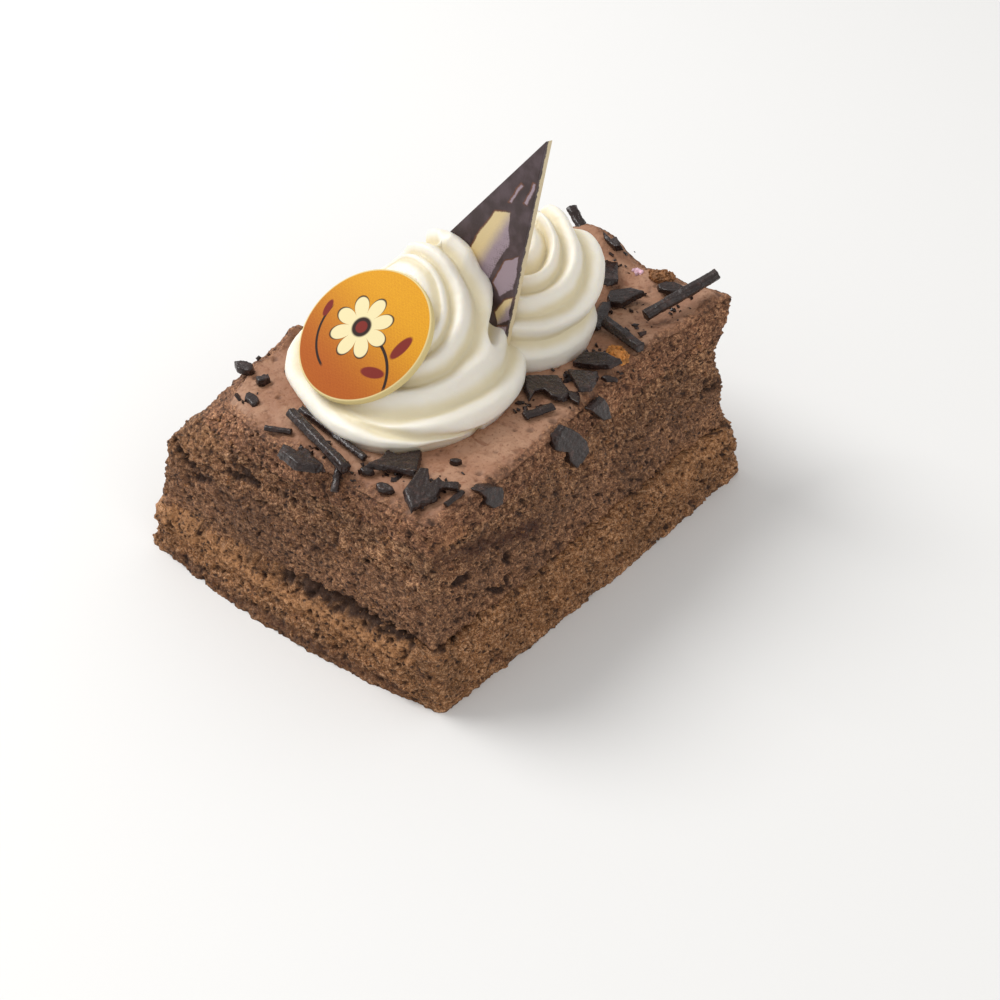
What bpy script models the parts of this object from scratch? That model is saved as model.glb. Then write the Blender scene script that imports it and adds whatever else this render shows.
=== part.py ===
"""A slice of chocolate mousse cake with whipped cream, a disc and a shard of chocolate.

Four layers of sponge and mousse carry two piped swirls of cream.  A round chocolate disc
leans on the front swirl, a thin triangular shard stands between the two, and sticks and
flakes of dark chocolate lie on the mousse.  The origin is the middle of the slice's foot,
+X looks out of the long cut face and -Y out of the short one.

Sizes are in millimetres; make_object() turns them into metres.
"""

import math
import random
from bisect import bisect_right
from collections import namedtuple

import bmesh
import bpy
from mathutils import Matrix, Vector, noise

MM = 0.001
GAP = 0.3

# The slice, seen from above: where each side stands at a height, as (height, position).
TOP_HEIGHT = 39.0
LEFT_SIDE = ((0, -38.5), (14, -35.8), (27, -32.4), (34, -29.0), (39, -26.0))
RIGHT_SIDE = ((0, 38.5), (3, 38.2), (14, 36.6), (27, 35.2), (39, 33.6))
FRONT_SIDE = ((0, -47.0), (14, -46.4), (27, -45.6), (39, -43.6))
BACK_SIDE = ((0, 47.0), (3, 46.8), (16, 43.8), (24, 42.8), (31, 42.0), (35, 45.0), (39, 48.2))
FOOT_BOW = 3.4
FOOT_BOW_LONG = 0.9
FOOT_BOW_HEIGHT = 13.0
RIM_BOW = (-1.6, 1.9)

# The front left corner of the top has crumbled away.
CHIP_DEPTH = 6.0
CHIP_REACH = 17.0
CHIP_HEIGHTS = (26.0, 38.0)
CHIP_DIRECTION = (0.75, 0.66)

# Layers, from the foot up: the heights of the seams and how they wave near the sides.
SEAMS = (13.6, 24.6, 33.2)
SEAM_WAVE = 0.55
SEAM_WAVE_SIZE = 13.0
SEAM_WAVE_REACH = 9.5
SEAM_ROUNDING = 0.7

# The lowest seam sags towards the front left corner: how far, between which X, how far back.
SAG = 4.0
SAG_START = 32.0
SAG_WIDTH = 58.0
SAG_REACH = 24.0

# Each layer's cells along X, Y and Z, and how far it stands out of the cut faces.
Layer = namedtuple("Layer", "name cells outset")
LAYERS = (
    Layer("sponge_base", (16, 20, 4), 0.6),
    Layer("mousse_middle", (16, 20, 3), 0.0),
    Layer("sponge_upper", (16, 20, 3), 0.1),
    Layer("mousse_top", (22, 28, 2), 0.2),
)
CRUMB = 0.55
CRUMB_SIZE = 5.0
FINE_CRUMB = 0.33
FINE_CRUMB_SIZE = 2.25

# The mousse on top: gentle waves, and (x, y, height, width) of its peaks and hollows.
SWELL = 0.55
SWELL_SIZE = 9.0
RIM_DROP = 0.9
RIM_WIDTH = 3.0
PEAKS = (
    (-25.5, -17.0, 3.2, 3.2),
    (30.5, 46.0, 3.0, 7.0),
    (17.0, 45.0, 1.6, 4.0),
    (31.0, 27.0, 1.2, 6.0),
    (0.5, 46.0, 6.0, 8.5),
    (-24.0, 20.0, 1.4, 6.0),
    (-22.5, -43.0, -3.4, 5.5),
    (24.0, 33.0, -0.7, 4.0),
)
PAD_HEIGHT = 39.2
PAD_MARGIN = 2.0

# A piped swirl: its smooth outer form, and the coil of ridges on it.  Dents give a
# direction, a depth, a width in degrees, and the share of the height where they lie and
# how far they spread.  Grooves are counted from the foot: low down by their height, further
# up by their reach from a line through the eye.  A fold runs through (direction, height)
# points.
Swirl = namedtuple(
    "Swirl", "name centre radius height lean profile dents eye axis heights reaches depths"
    " fold seed",
)
LOW_SWIRL = (
    (0.0, 0.95), (0.08, 1.0), (0.19, 0.97), (0.28, 0.88), (0.37, 0.79),
    (0.48, 0.70), (0.60, 0.60), (0.72, 0.47), (0.83, 0.34), (0.92, 0.22), (1.0, 0.05),
)
ROUND_SWIRL = (
    (0.0, 0.95), (0.12, 0.96), (0.28, 0.98), (0.45, 1.0), (0.54, 0.97), (0.62, 0.91),
    (0.72, 0.78), (0.80, 0.62), (0.90, 0.42), (0.96, 0.25), (1.0, 0.05),
)
FRONT_DENTS = (
    (-112.0, 2.4, 28.0, 0.0, 0.4), (-45.0, -1.9, 26.0, 0.0, 0.4),
    (40.0, 1.6, 30.0, 0.30, 0.2), (-160.0, 2.4, 50.0, 0.65, 0.25),
    (30.0, 2.4, 14.0, 0.42, 0.07), (74.0, 1.4, 20.0, 0.74, 0.05),
    (56.0, 0.9, 20.0, 0.52, 0.10), (110.0, -1.6, 80.0, 0.93, 0.07),
)
FRONT_HEIGHTS = ((39.3, 1.45), (45.4, 2.0), (48.9, 3.0), (52.0, 4.0), (64.4, 8.0))
BACK_HEIGHTS = ((39.3, 0.45), (44.9, 1.0), (48.5, 2.0), (62.5, 6.0))
FRONT_REACHES = ((9.5, 5.68), (11.9, 5.0), (13.9, 4.0), (18.2, 3.0), (24.0, 2.0), (31.0, 1.0))
BACK_REACHES = ((4.0, 4.68), (6.5, 4.0), (10.05, 3.0), (15.64, 2.0), (24.0, 1.0))
FRONT_DEPTHS = ((1.0, 1.5), (2.0, 1.8), (3.0, 2.4), (4.0, 1.5), (5.0, 0.4), (6.0, 0.4))
BACK_DEPTHS = ((1.0, 1.8), (2.0, 2.0), (3.0, 2.1), (4.0, 2.6))
FRONT_FOLD = ((-104.0, 45.0), (-82.0, 44.6), (-60.0, 43.9), (-34.0, 42.6), (-16.0, 40.8), (-6.0, 39.4))
SWIRLS = (
    Swirl(
        "cream_front", (0.8, -14.2), 23.4, 24.6, (-1.8, 13.6), LOW_SWIRL, FRONT_DENTS,
        (-1.93, -15.23, 52.0), (0.0, -0.5838, 0.8119), FRONT_HEIGHTS, FRONT_REACHES,
        FRONT_DEPTHS, FRONT_FOLD, 3.0,
    ),
    Swirl(
        "cream_back", (7.5, 12.9), 15.1, 22.6, (-2.4, 8.8), ROUND_SWIRL, (),
        (-3.58, 17.8, 54.0), (0.7508, -0.4328, 0.4990), BACK_HEIGHTS, BACK_REACHES,
        BACK_DEPTHS, (), 8.0,
    ),
)
RIDGE_CREST = 0.66
RIDGE_BLEND = 4.0
SWIRL_CELLS = ((60, 26), (36, 24))
FOLD_DEPTH = 1.2
FOLD_WIDTH = 0.9
CREAM_UNEVENNESS = 0.02
CREAM_UNEVENNESS_SIZE = 1.4
LEAN_EASE = 1.2

# The round disc and the shard of chocolate.
DISC_CENTRE = (-0.57, -22.5, 53.25)
DISC_NORMAL = (-0.032, -0.567, 0.823)
DISC_RADIUS = 13.6
DISC_THICKNESS = 1.6
DISC_SIDES = 64
DISC_SEAT_REACH = 30.0
SHARD_TIP = (15.3, 10.1, 84.7)
SHARD_LEAN = 14.3
SHARD_EDGE = 43.5
SHARD_POINT_ANGLE = 35.5
SHARD_EDGE_LEAN = 2.1
SHARD_THICKNESS = 2.0
SHARD_CORNER_SPACE = 2.5

# Outlines of flakes that broke in their own way, from -0.5 to 0.5 along their two sides.
OUTLINES = {
    "slab": (
        (-0.10, -0.45), (0.15, -0.50), (0.27, -0.35), (0.40, -0.18), (0.50, 0.22),
        (0.12, 0.29), (0.03, 0.46), (-0.15, 0.50), (-0.17, 0.15), (-0.50, 0.11), (-0.44, -0.29),
    ),
    "plate": (
        (-0.50, -0.50), (0.06, -0.26), (0.50, -0.10), (0.19, 0.31), (0.0, 0.50), (-0.21, 0.10),
        (-0.49, 0.08), (-0.40, -0.20),
    ),
    "star": (
        (0.19, -0.50), (0.24, -0.28), (0.35, -0.01), (0.22, 0.22), (0.50, 0.35), (0.41, 0.50),
        (0.15, 0.34), (-0.01, 0.37), (-0.03, 0.16), (-0.36, 0.43), (-0.50, 0.34), (-0.31, -0.25),
    ),
    "lens": (
        (-0.26, -0.44), (0.12, -0.25), (0.37, -0.02), (0.50, 0.43), (-0.02, 0.50),
        (-0.27, 0.35), (-0.50, 0.07), (-0.47, -0.50),
    ),
    "tile": (
        (-0.13, -0.20), (0.28, -0.50), (0.50, -0.27), (0.24, 0.37), (0.10, 0.50), (-0.50, 0.07),
    ),
    "bar": (
        (-0.50, -0.42), (-0.10, -0.50), (0.50, -0.38), (0.47, 0.10), (0.38, 0.50),
        (-0.30, 0.46), (-0.50, 0.30),
    ),
    "sheet": (
        (-0.24, -0.26), (0.05, -0.50), (-0.04, -0.21), (0.01, -0.05), (0.26, -0.14),
        (0.50, -0.08), (0.45, 0.15), (0.17, 0.34), (-0.08, 0.50), (-0.50, 0.07),
    ),
    "boat": (
        (-0.12, -0.50), (0.21, -0.38), (0.50, 0.50), (-0.03, 0.43), (-0.50, -0.02), (-0.42, -0.31),
    ),
    "thorn": (
        (-0.14, -0.16), (0.35, -0.50), (0.50, -0.29), (0.13, 0.23), (0.07, -0.05),
        (-0.28, 0.23), (-0.50, 0.50),
    ),
    "chunk": (
        (-0.26, 0.12), (-0.36, -0.05), (-0.07, -0.44), (0.32, -0.50), (0.50, -0.25),
        (0.44, 0.03), (0.20, 0.26), (-0.21, 0.47), (-0.50, 0.50),
    ),
    "shell": (
        (-0.28, 0.02), (-0.14, -0.07), (-0.10, -0.30), (0.07, -0.49), (0.31, -0.45),
        (0.50, -0.35), (0.49, -0.14), (0.26, 0.16), (0.03, 0.34), (-0.16, 0.50),
        (-0.46, 0.45), (-0.50, 0.17),
    ),
    "wedge": (
        (-0.31, 0.22), (0.06, -0.29), (0.50, -0.50), (0.43, 0.12), (0.27, 0.50), (-0.50, 0.50),
    ),
}

# Dark chocolate pieces: the form of each, where it lies (x, y, height of its middle), its
# length, width and thickness, and how it is turned about Z and tipped up and over.
Piece = namedtuple("Piece", "name form place size heading pitch roll")
PIECES = (
    Piece("curl_front", "stick", (3.2, -39.6, 40.8), (20.8, 2.7, 2.5), -17.0, 0, 0),
    Piece("stick_under_cream", "stick", (3.4, -35.9, 40.2), (20.0, 1.7, 1.6), -10.0, 0, 0),
    Piece("flake_front_edge", "slab", (4.3, -45.0, 40.1), (10.5, 5.4, 1.8), 0, 0, -10),
    Piece("flake_by_cream_front", "plate", (19.0, -34.4, 40.2), (9.1, 10.8, 1.2), 0, 0, -4),
    Piece("flake_star", "star", (27.5, -37.9, 40.4), (9.2, 11.2, 1.2), 0, -4, 4),
    Piece("flake_in_side", "shell", (34.1, -5.0, 34.4), (9.8, 11.0, 1.6), 92.0, 0, 82),
    Piece("flake_by_cream_right", "sheet", (24.1, -0.3, 40.3), (11.2, 10.8, 1.1), 0, 0, -4),
    Piece("flake_broad", "tile", (27.7, 6.5, 40.5), (8.1, 7.9, 1.1), 0, 4, -6),
    Piece("flake_narrow", "stick", (27.6, -6.3, 40.0), (6.6, 2.4, 1.3), 72.0, 0, 8),
    Piece("flake_oval", "lens", (26.7, 12.5, 40.7), (8.3, 6.0, 1.3), 0, 4, 8),
    Piece("stick_right", "stick", (24.9, 22.8, 40.9), (11.2, 3.1, 2.5), -12.0, -3, 0),
    Piece("flake_beside_cream", "stick", (17.0, 26.0, 40.2), (9.6, 2.8, 1.5), 112.0, 0, 0),
    Piece("flake_boat", "boat", (16.6, 34.0, 40.6), (6.6, 6.8, 1.5), 0, 4, 6),
    Piece("flake_square", "bar", (8.9, 39.4, 41.1), (12.0, 3.8, 1.3), -53.0, 4, -10),
    Piece("stick_corner", "stick", (27.4, 38.6, 43.3), (17.5, 2.9, 2.7), 67.5, 17, 0),
    Piece("flake_back_edge", "thorn", (4.6, 45.2, 44.0), (8.2, 4.2, 1.4), 0, 6, 14),
    Piece("flake_back_cream", "stick", (-4.6, 46.6, 44.0), (8.6, 3.0, 1.8), -24.0, -22, 0),
)

# Smaller bits that are stuck to the mousse, laid out in the same way.
BITS = (
    Piece("left_edge", "flake", (-24.8, -31.0, 39.6), (5.0, 3.2, 1.6), 10.0, 0, 8),
    Piece("left_inner", "flake", (-19.0, -31.6, 39.6), (3.2, 2.8, 1.6), 30.0, 0, 0),
    Piece("thin_stick", "stick", (-5.6, -41.0, 39.6), (5.4, 1.5, 1.3), 26.0, 0, 0),
    Piece("embedded", "flake", (-16.6, -36.8, 38.9), (5.0, 3.0, 1.4), -25.0, 0, 0),
    Piece("front_hanging", "stick", (11.8, -43.6, 38.9), (6.0, 1.8, 1.5), -60.0, -30, 0),
    Piece("by_curl", "flake", (15.4, -39.6, 39.7), (3.0, 2.2, 1.2), 15.0, 0, 0),
    Piece("by_star_right", "stick", (32.4, -35.6, 39.7), (5.0, 1.4, 1.2), 92.0, 0, 0),
    Piece("by_star_left", "flake", (21.0, -41.2, 39.5), (4.2, 2.4, 1.3), 10.0, 0, 10),
    Piece("in_corner_side", "chunk", (34.3, -28.6, 37.2), (6.8, 6.2, 2.6), 93.0, 0, 80),
    Piece("in_side_high", "wedge", (33.4, 4.4, 36.2), (6.4, 5.6, 1.8), 93.0, 0, 80),
    Piece("golden_crumb", "flake", (27.3, 18.2, 39.6), (6.8, 4.2, 1.8), -30.0, 0, 0),
    Piece("under_stick", "flake", (22.6, 42.4, 41.0), (7.0, 4.6, 1.3), 30.0, 0, 8),
    Piece("crumb_bump", "flake", (18.2, 44.6, 41.0), (6.4, 4.2, 2.4), 20.0, 0, 0),
    Piece("pink_bit", "flake", (12.6, 44.2, 39.9), (2.6, 2.0, 1.8), 0.0, 0, 0),
    Piece("under_curl_end", "flake", (25.6, -27.4, 39.6), (2.6, 1.8, 1.2), 30.0, 0, 0),
    Piece("between_flakes", "wedge", (29.4, 1.2, 39.8), (4.0, 3.4, 1.0), 20.0, 0, 0),
    Piece("beside_oval", "flake", (31.0, 10.6, 39.7), (3.6, 1.8, 1.0), 30.0, 0, 0),
)
HIDDEN_BITS = 9
HIDDEN_BITS_X = (-24.5, -15.5)
HIDDEN_BITS_Y = (4.0, 42.0)
HIDDEN_BIT_RISE = 0.3
PIECE_SPACE = 2.6
FLAKE_CORNERS = 9

SPONGE_BROWN = (0.235, 0.125, 0.055)
MOUSSE_BROWN = (0.200, 0.098, 0.050)
TOP_MOUSSE = (0.400, 0.225, 0.140)
CREAM = (0.860, 0.820, 0.700)
DARK_CHOCOLATE = (0.035, 0.018, 0.015)
MARBLED_CHOCOLATE = (0.090, 0.055, 0.055)
DISC_ORANGE = (0.760, 0.280, 0.020)


def clear_scene():
    """Start from an empty scene."""
    for thing in list(bpy.data.objects):
        bpy.data.objects.remove(thing)


def make_collection(name):
    """Add a collection to the scene."""
    collection = bpy.data.collections.new(name)
    bpy.context.scene.collection.children.link(collection)
    return collection


def make_material(name, colour, roughness):
    """A plain Principled material."""
    material = bpy.data.materials.new(name)
    material.use_nodes = True
    shader = material.node_tree.nodes["Principled BSDF"]
    shader.inputs["Base Color"].default_value = (*colour, 1.0)
    shader.inputs["Roughness"].default_value = roughness
    shader.inputs["Metallic"].default_value = 0.0
    return material


def make_object(bm, name, material, collection):
    """Turn a bmesh in millimetres into an object in metres."""
    bmesh.ops.scale(bm, vec=(MM, MM, MM), verts=bm.verts)
    bmesh.ops.recalc_face_normals(bm, faces=bm.faces)
    mesh = bpy.data.meshes.new(name)
    bm.to_mesh(mesh)
    bm.free()
    thing = bpy.data.objects.new(name, mesh)
    if material:
        mesh.materials.append(material)
    collection.objects.link(thing)
    return thing


def hide_cutter(thing):
    """Keep a cutter out of the model."""
    thing.hide_render = True
    thing.display_type = "WIRE"


def smoothstep(value):
    """0 below 0, 1 above 1, with an even rise between."""
    share = min(max(value, 0.0), 1.0)
    return share * share * (3.0 - 2.0 * share)


def read_curve(points, position):
    """The height at a position of a smooth curve through (position, height) points."""
    keys = [key for key, _ in points]
    first = min(max(bisect_right(keys, position) - 1, 0), len(points) - 2)
    (start, low), (end, high) = points[first], points[first + 1]
    before = points[max(first - 1, 0)]
    after = points[min(first + 2, len(points) - 1)]
    span = end - start
    slope_in = (high - before[1]) / (end - before[0]) * span
    slope_out = (after[1] - low) / (after[0] - start) * span
    s = min(max((position - start) / span, 0.0), 1.0)
    return (
        (2 * s**3 - 3 * s**2 + 1) * low
        + (s**3 - 2 * s**2 + s) * slope_in
        + (3 * s**2 - 2 * s**3) * high
        + (s**3 - s**2) * slope_out
    )


def read_line(points, position):
    """The height at a position of the straight lines through (position, height) points."""
    for (start, low), (end, high) in zip(points, points[1:]):
        if position < end:
            break
    share = min(max((position - start) / (end - start), 0.0), 1.0)
    return low + (high - low) * share


# ---------------------------------------------------------------- the slice


def unit_box(cells):
    """A box from 0 to 1 on each axis, cut into cells."""
    bm = bmesh.new()
    bmesh.ops.create_cube(bm, size=1.0, matrix=Matrix.Translation((0.5, 0.5, 0.5)))
    for axis, count in enumerate(cells):
        edges = [e for e in bm.edges if abs(e.verts[0].co[axis] - e.verts[1].co[axis]) > 1e-6]
        if count > 1:
            bmesh.ops.subdivide_edges(bm, edges=edges, cuts=count - 1, use_grid_fill=True)
    return bm


def slice_point(u, v, height):
    """The place of a point at shares u (left to right) and v (front to back) of the slice."""
    foot = max(0.0, 1.0 - height / FOOT_BOW_HEIGHT)
    crown = min(1.0, height / TOP_HEIGHT) ** 2
    rim = RIM_BOW[0] * math.sin(math.pi * v) + RIM_BOW[1] * math.sin(2 * math.pi * v)
    long_bow = FOOT_BOW_LONG * foot * 4 * v * (1 - v)
    short_bow = FOOT_BOW * foot * 4 * u * (1 - u)
    left = read_curve(LEFT_SIDE, height) - long_bow
    right = read_curve(RIGHT_SIDE, height) + long_bow + rim * crown
    front = read_curve(FRONT_SIDE, height) - short_bow
    back = read_curve(BACK_SIDE, height) + short_bow
    x = left + (right - left) * u
    y = front + (back - front) * v
    reach = 1.0 - (u * (right - left) + v * (back - front)) / CHIP_REACH
    low, high = CHIP_HEIGHTS
    chip = CHIP_DEPTH * smoothstep((height - low) / (high - low)) * max(0.0, reach)
    return x + CHIP_DIRECTION[0] * chip, y + CHIP_DIRECTION[1] * chip


def seam_height(level, x, y, border):
    """A seam is level in the middle of the slice and waves near its sides."""
    near_side = 1.0 - smoothstep(border / SEAM_WAVE_REACH)
    wave = noise.noise((x / SEAM_WAVE_SIZE, y / SEAM_WAVE_SIZE, level))
    height = level + SEAM_WAVE * near_side * wave
    if abs(level - SEAMS[0]) < 1.0:
        behind = smoothstep((y - FRONT_SIDE[0][1]) / SAG_REACH)
        height -= SAG * smoothstep((SAG_START - x) / SAG_WIDTH) * (1.0 - behind)
    return height


def top_height(x, y):
    """The mousse's surface: waves, peaks, and level pads under the cream."""
    height = TOP_HEIGHT + SWELL * noise.noise((x / SWELL_SIZE, y / SWELL_SIZE, 5.0))
    for peak_x, peak_y, rise, width in PEAKS:
        distance = math.hypot(x - peak_x, y - peak_y) / width
        height += rise * math.exp(-distance * distance)
    for swirl in SWIRLS:
        distance = math.hypot(x - swirl.centre[0], y - swirl.centre[1])
        outside = smoothstep((distance - swirl.radius - 0.5) / PAD_MARGIN)
        height = PAD_HEIGHT + (height - PAD_HEIGHT) * outside
    return height


def outward(u, v):
    """Which way a point on the slice's side looks, and zero inside."""
    return Vector((int(u > 0.9999) - int(u < 0.0001), int(v > 0.9999) - int(v < 0.0001), 0.0))


def crumb_relief(place):
    """Crumbs stand out of a cut face and pores lie in it."""
    coarse = noise.noise(place / CRUMB_SIZE)
    fine = noise.noise(place / FINE_CRUMB_SIZE + Vector((7.0, 3.0, 1.0)))
    return CRUMB * coarse + FINE_CRUMB * fine


def merge_flat_faces(bm, height):
    """Make one face of each level stretch at a height."""
    flat = [f for f in bm.faces if all(abs(v.co.z - height) < 0.0001 for v in f.verts)]
    if flat:
        bmesh.ops.dissolve_faces(bm, faces=flat, use_verts=False)


def make_layer(level, material, collection):
    """One layer between two seams, as a box whose points move to the slice's form."""
    layer = LAYERS[level]
    low = 0.0 if level == 0 else SEAMS[level - 1] + GAP / 2
    is_top = level == len(SEAMS)
    high = TOP_HEIGHT if is_top else SEAMS[level] - GAP / 2
    bm = unit_box(layer.cells)
    for vert in bm.verts:
        u, v, w = vert.co
        x, y = slice_point(u, v, low + (high - low) * w)
        border = min(u, 1 - u) * (RIGHT_SIDE[0][1] - LEFT_SIDE[0][1])
        border = min(border, min(v, 1 - v) * (BACK_SIDE[0][1] - FRONT_SIDE[0][1]))
        floor = low if level == 0 else seam_height(low, x, y, border)
        ceiling = top_height(x, y) if is_top else seam_height(high, x, y, border)
        if is_top:
            ceiling -= RIM_DROP * (1 - smoothstep(border / RIM_WIDTH))
        place = Vector((x, y, floor + (ceiling - floor) * w))
        side = outward(u, v)
        if side.length:
            seam_edge = min(w, 1 - w) < 0.0001 and not (level == 0 and w < 0.5)
            push = layer.outset + crumb_relief(place) - (SEAM_ROUNDING if seam_edge else 0.0)
            place += side.normalized() * push
        vert.co = place
    for flat_height in (low, PAD_HEIGHT if is_top else high):
        merge_flat_faces(bm, flat_height)
    return make_object(bm, layer.name, material, collection)


# ---------------------------------------------------------------- the cream


def swirl_form(swirl, angle, share):
    """A point of a swirl's smooth outer form."""
    radius = swirl.radius * read_curve(swirl.profile, round(share, 5))
    around = Vector((math.cos(angle), math.sin(angle), 0.0)) * CREAM_UNEVENNESS_SIZE
    wobble = noise.noise(around + Vector((0.0, 0.0, 2 * share + swirl.seed)))
    radius *= 1 + CREAM_UNEVENNESS * wobble
    for direction, deep, width, middle, spread in swirl.dents:
        aside = (math.degrees(angle) - direction + 180) % 360 - 180
        radius -= deep * math.exp(-((aside / width) ** 2) - ((share - middle) / spread) ** 2)
    drift = share**LEAN_EASE
    x = swirl.centre[0] + swirl.lean[0] * drift + radius * math.cos(angle)
    y = swirl.centre[1] + swirl.lean[1] * drift + radius * math.sin(angle)
    return Vector((x, y, PAD_HEIGHT + GAP + swirl.height * share))


def ridge_count(swirl, place):
    """How many grooves lie below or outside a point of a swirl."""
    by_height = read_line(swirl.heights, place.z)
    away = place - Vector(swirl.eye)
    axis = Vector(swirl.axis)
    by_reach = read_line(swirl.reaches, (away - away.dot(axis) * axis).length)
    blend = math.exp(-RIDGE_BLEND * by_height) + math.exp(-RIDGE_BLEND * by_reach)
    return -math.log(blend) / RIDGE_BLEND


def ridge_share(count):
    """How high on a ridge a point is: 0 down in the groove, 1 on the crest."""
    share = count % 1.0
    rise = share / RIDGE_CREST if share < RIDGE_CREST else (1 - share) / (1 - RIDGE_CREST)
    return 0.35 * math.sin(0.5 * math.pi * rise) + 0.65 * smoothstep(rise)


def swirl_point(swirl, angle, share, grow=0.0):
    """A point of a piped swirl, and for a cutter, of the space around it."""
    place = swirl_form(swirl, angle, share)
    step = 0.01
    aside = swirl_form(swirl, angle + step, share) - swirl_form(swirl, angle - step, share)
    low, high = max(share - step, 0.0), min(share + step, 1.0)
    upward = swirl_form(swirl, angle, high) - swirl_form(swirl, angle, low)
    normal = aside.cross(upward).normalized()
    count = ridge_count(swirl, place)
    sunk = read_line(swirl.depths, count) * (1.0 - ridge_share(count))
    turn = (math.degrees(angle) + 180) % 360 - 180
    if swirl.fold and swirl.fold[0][0] < turn < swirl.fold[-1][0]:
        off = (place.z - read_line(swirl.fold, turn)) / FOLD_WIDTH
        fold = math.exp(-off * off) * smoothstep((turn - swirl.fold[0][0]) / 15.0)
        sunk = max(sunk, FOLD_DEPTH * fold + 0.6 * sunk * (1 - fold))
    above = int(share > 0.99) - int(share < 0.01)
    return place + normal * (grow - sunk) + Vector((0.0, 0.0, grow * above))


def make_swirl(swirl, cells, name, material, collection, grow=0.0):
    """A piped swirl: a tall cylinder whose points move to the ridges."""
    bm = bmesh.new()
    columns, rows = cells
    bmesh.ops.create_cone(
        bm, cap_ends=True, segments=columns, radius1=1.0, radius2=1.0, depth=1.0,
        matrix=Matrix.Translation((0, 0, 0.5)),
    )
    upright = [e for e in bm.edges if abs(e.verts[0].co.z - e.verts[1].co.z) > 0.5]
    bmesh.ops.subdivide_edges(bm, edges=upright, cuts=rows - 1)
    tip = [v for v in bm.verts if v.co.z > 0.9999]
    for vert in bm.verts:
        vert.co = swirl_point(swirl, math.atan2(vert.co.y, vert.co.x), vert.co.z, grow)
    bmesh.ops.pointmerge(bm, verts=tip, merge_co=sum((v.co for v in tip), Vector()) / len(tip))
    return make_object(bm, name, material, collection)


# ---------------------------------------------------------------- disc and shard


def make_disc(name, material, collection, grow=0.0, reach=0.0):
    """The disc, or with a reach the space that it needs, out to that distance."""
    normal = Vector(DISC_NORMAL).normalized()
    depth = DISC_THICKNESS + grow + reach
    middle = Vector(DISC_CENTRE) + normal * ((reach - DISC_THICKNESS - grow) / 2)
    turn = normal.to_track_quat("Z", "Y").to_matrix().to_4x4()
    bm = bmesh.new()
    bmesh.ops.create_cone(
        bm, cap_ends=True, segments=DISC_SIDES, depth=depth,
        radius1=DISC_RADIUS + grow, radius2=DISC_RADIUS + grow,
        matrix=Matrix.Translation(middle) @ turn,
    )
    return make_object(bm, name, material, collection)


def shard_frame():
    """The shard's own axes: its tip, across, down its edge, and the way its back looks."""
    lean = math.radians(SHARD_LEAN)
    down = Vector((0, -math.sin(lean), -math.cos(lean)))
    back = Vector((0, math.cos(lean), -math.sin(lean)))
    return Vector(SHARD_TIP), Vector((1, 0, 0)), down, back


def make_shard(name, material, collection, grow=0.0):
    """A thin triangle that stands on its point angle, leaning back."""
    tip, across, down, back = shard_frame()
    right = math.radians(-SHARD_EDGE_LEAN)
    left = right - math.radians(SHARD_POINT_ANGLE)
    corners = [tip]
    for angle in (right, left):
        edge = across * math.sin(angle) + down * math.cos(angle)
        corners.append(tip + edge * SHARD_EDGE)
    middle = sum(corners, Vector()) / 3
    bm = bmesh.new()
    bmesh.ops.create_circle(bm, cap_ends=True, segments=3, radius=1.0)
    bm.verts.ensure_lookup_table()
    for vert, corner in zip(bm.verts, corners):
        away = (corner - middle).normalized()
        vert.co = corner + away * (SHARD_CORNER_SPACE * grow) - back * grow
    made = bmesh.ops.extrude_face_region(bm, geom=bm.faces[:])
    moved = [v for v in made["geom"] if isinstance(v, bmesh.types.BMVert)]
    bmesh.ops.translate(bm, verts=moved, vec=back * (SHARD_THICKNESS + 2 * grow))
    return make_object(bm, name, material, collection)


# ---------------------------------------------------------------- chocolate pieces


def unit_stick(chance):
    """An uneven six-sided stick along X, 1 long, 1 wide and 1 thick."""
    bm = bmesh.new()
    bmesh.ops.create_cone(
        bm, cap_ends=True, segments=6, radius1=0.5, radius2=0.5, depth=1.0,
        matrix=Matrix.Rotation(math.pi / 2, 4, "Y"),
    )
    edges = [e for e in bm.edges if abs(e.verts[0].co.x - e.verts[1].co.x) > 0.5]
    bmesh.ops.subdivide_edges(bm, edges=edges, cuts=4)
    for vert in bm.verts:
        vert.co.y *= chance.uniform(0.78, 1.0)
        vert.co.z *= chance.uniform(0.78, 1.0)
        vert.co.x *= chance.uniform(0.94, 1.0)
    return bm


def unit_flake(chance):
    """A splinter with a broken outline, 1 long, 1 wide and 1 thick."""
    bm = bmesh.new()
    bmesh.ops.create_cone(
        bm, cap_ends=True, segments=FLAKE_CORNERS, radius1=0.5, radius2=0.5, depth=1.0,
    )
    reach = [chance.uniform(0.62, 1.0) for _ in range(FLAKE_CORNERS)]
    reach[0] = 1.0
    reach[FLAKE_CORNERS // 2] = 1.0
    for vert in bm.verts:
        corner = round(math.atan2(vert.co.y, vert.co.x) * FLAKE_CORNERS / (2 * math.pi))
        reached = reach[corner % FLAKE_CORNERS]
        vert.co.xy *= reached * (1.0 if vert.co.z < 0 else chance.uniform(0.8, 0.97))
        vert.co.z *= chance.uniform(0.75, 1.0)
    return bm


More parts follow.
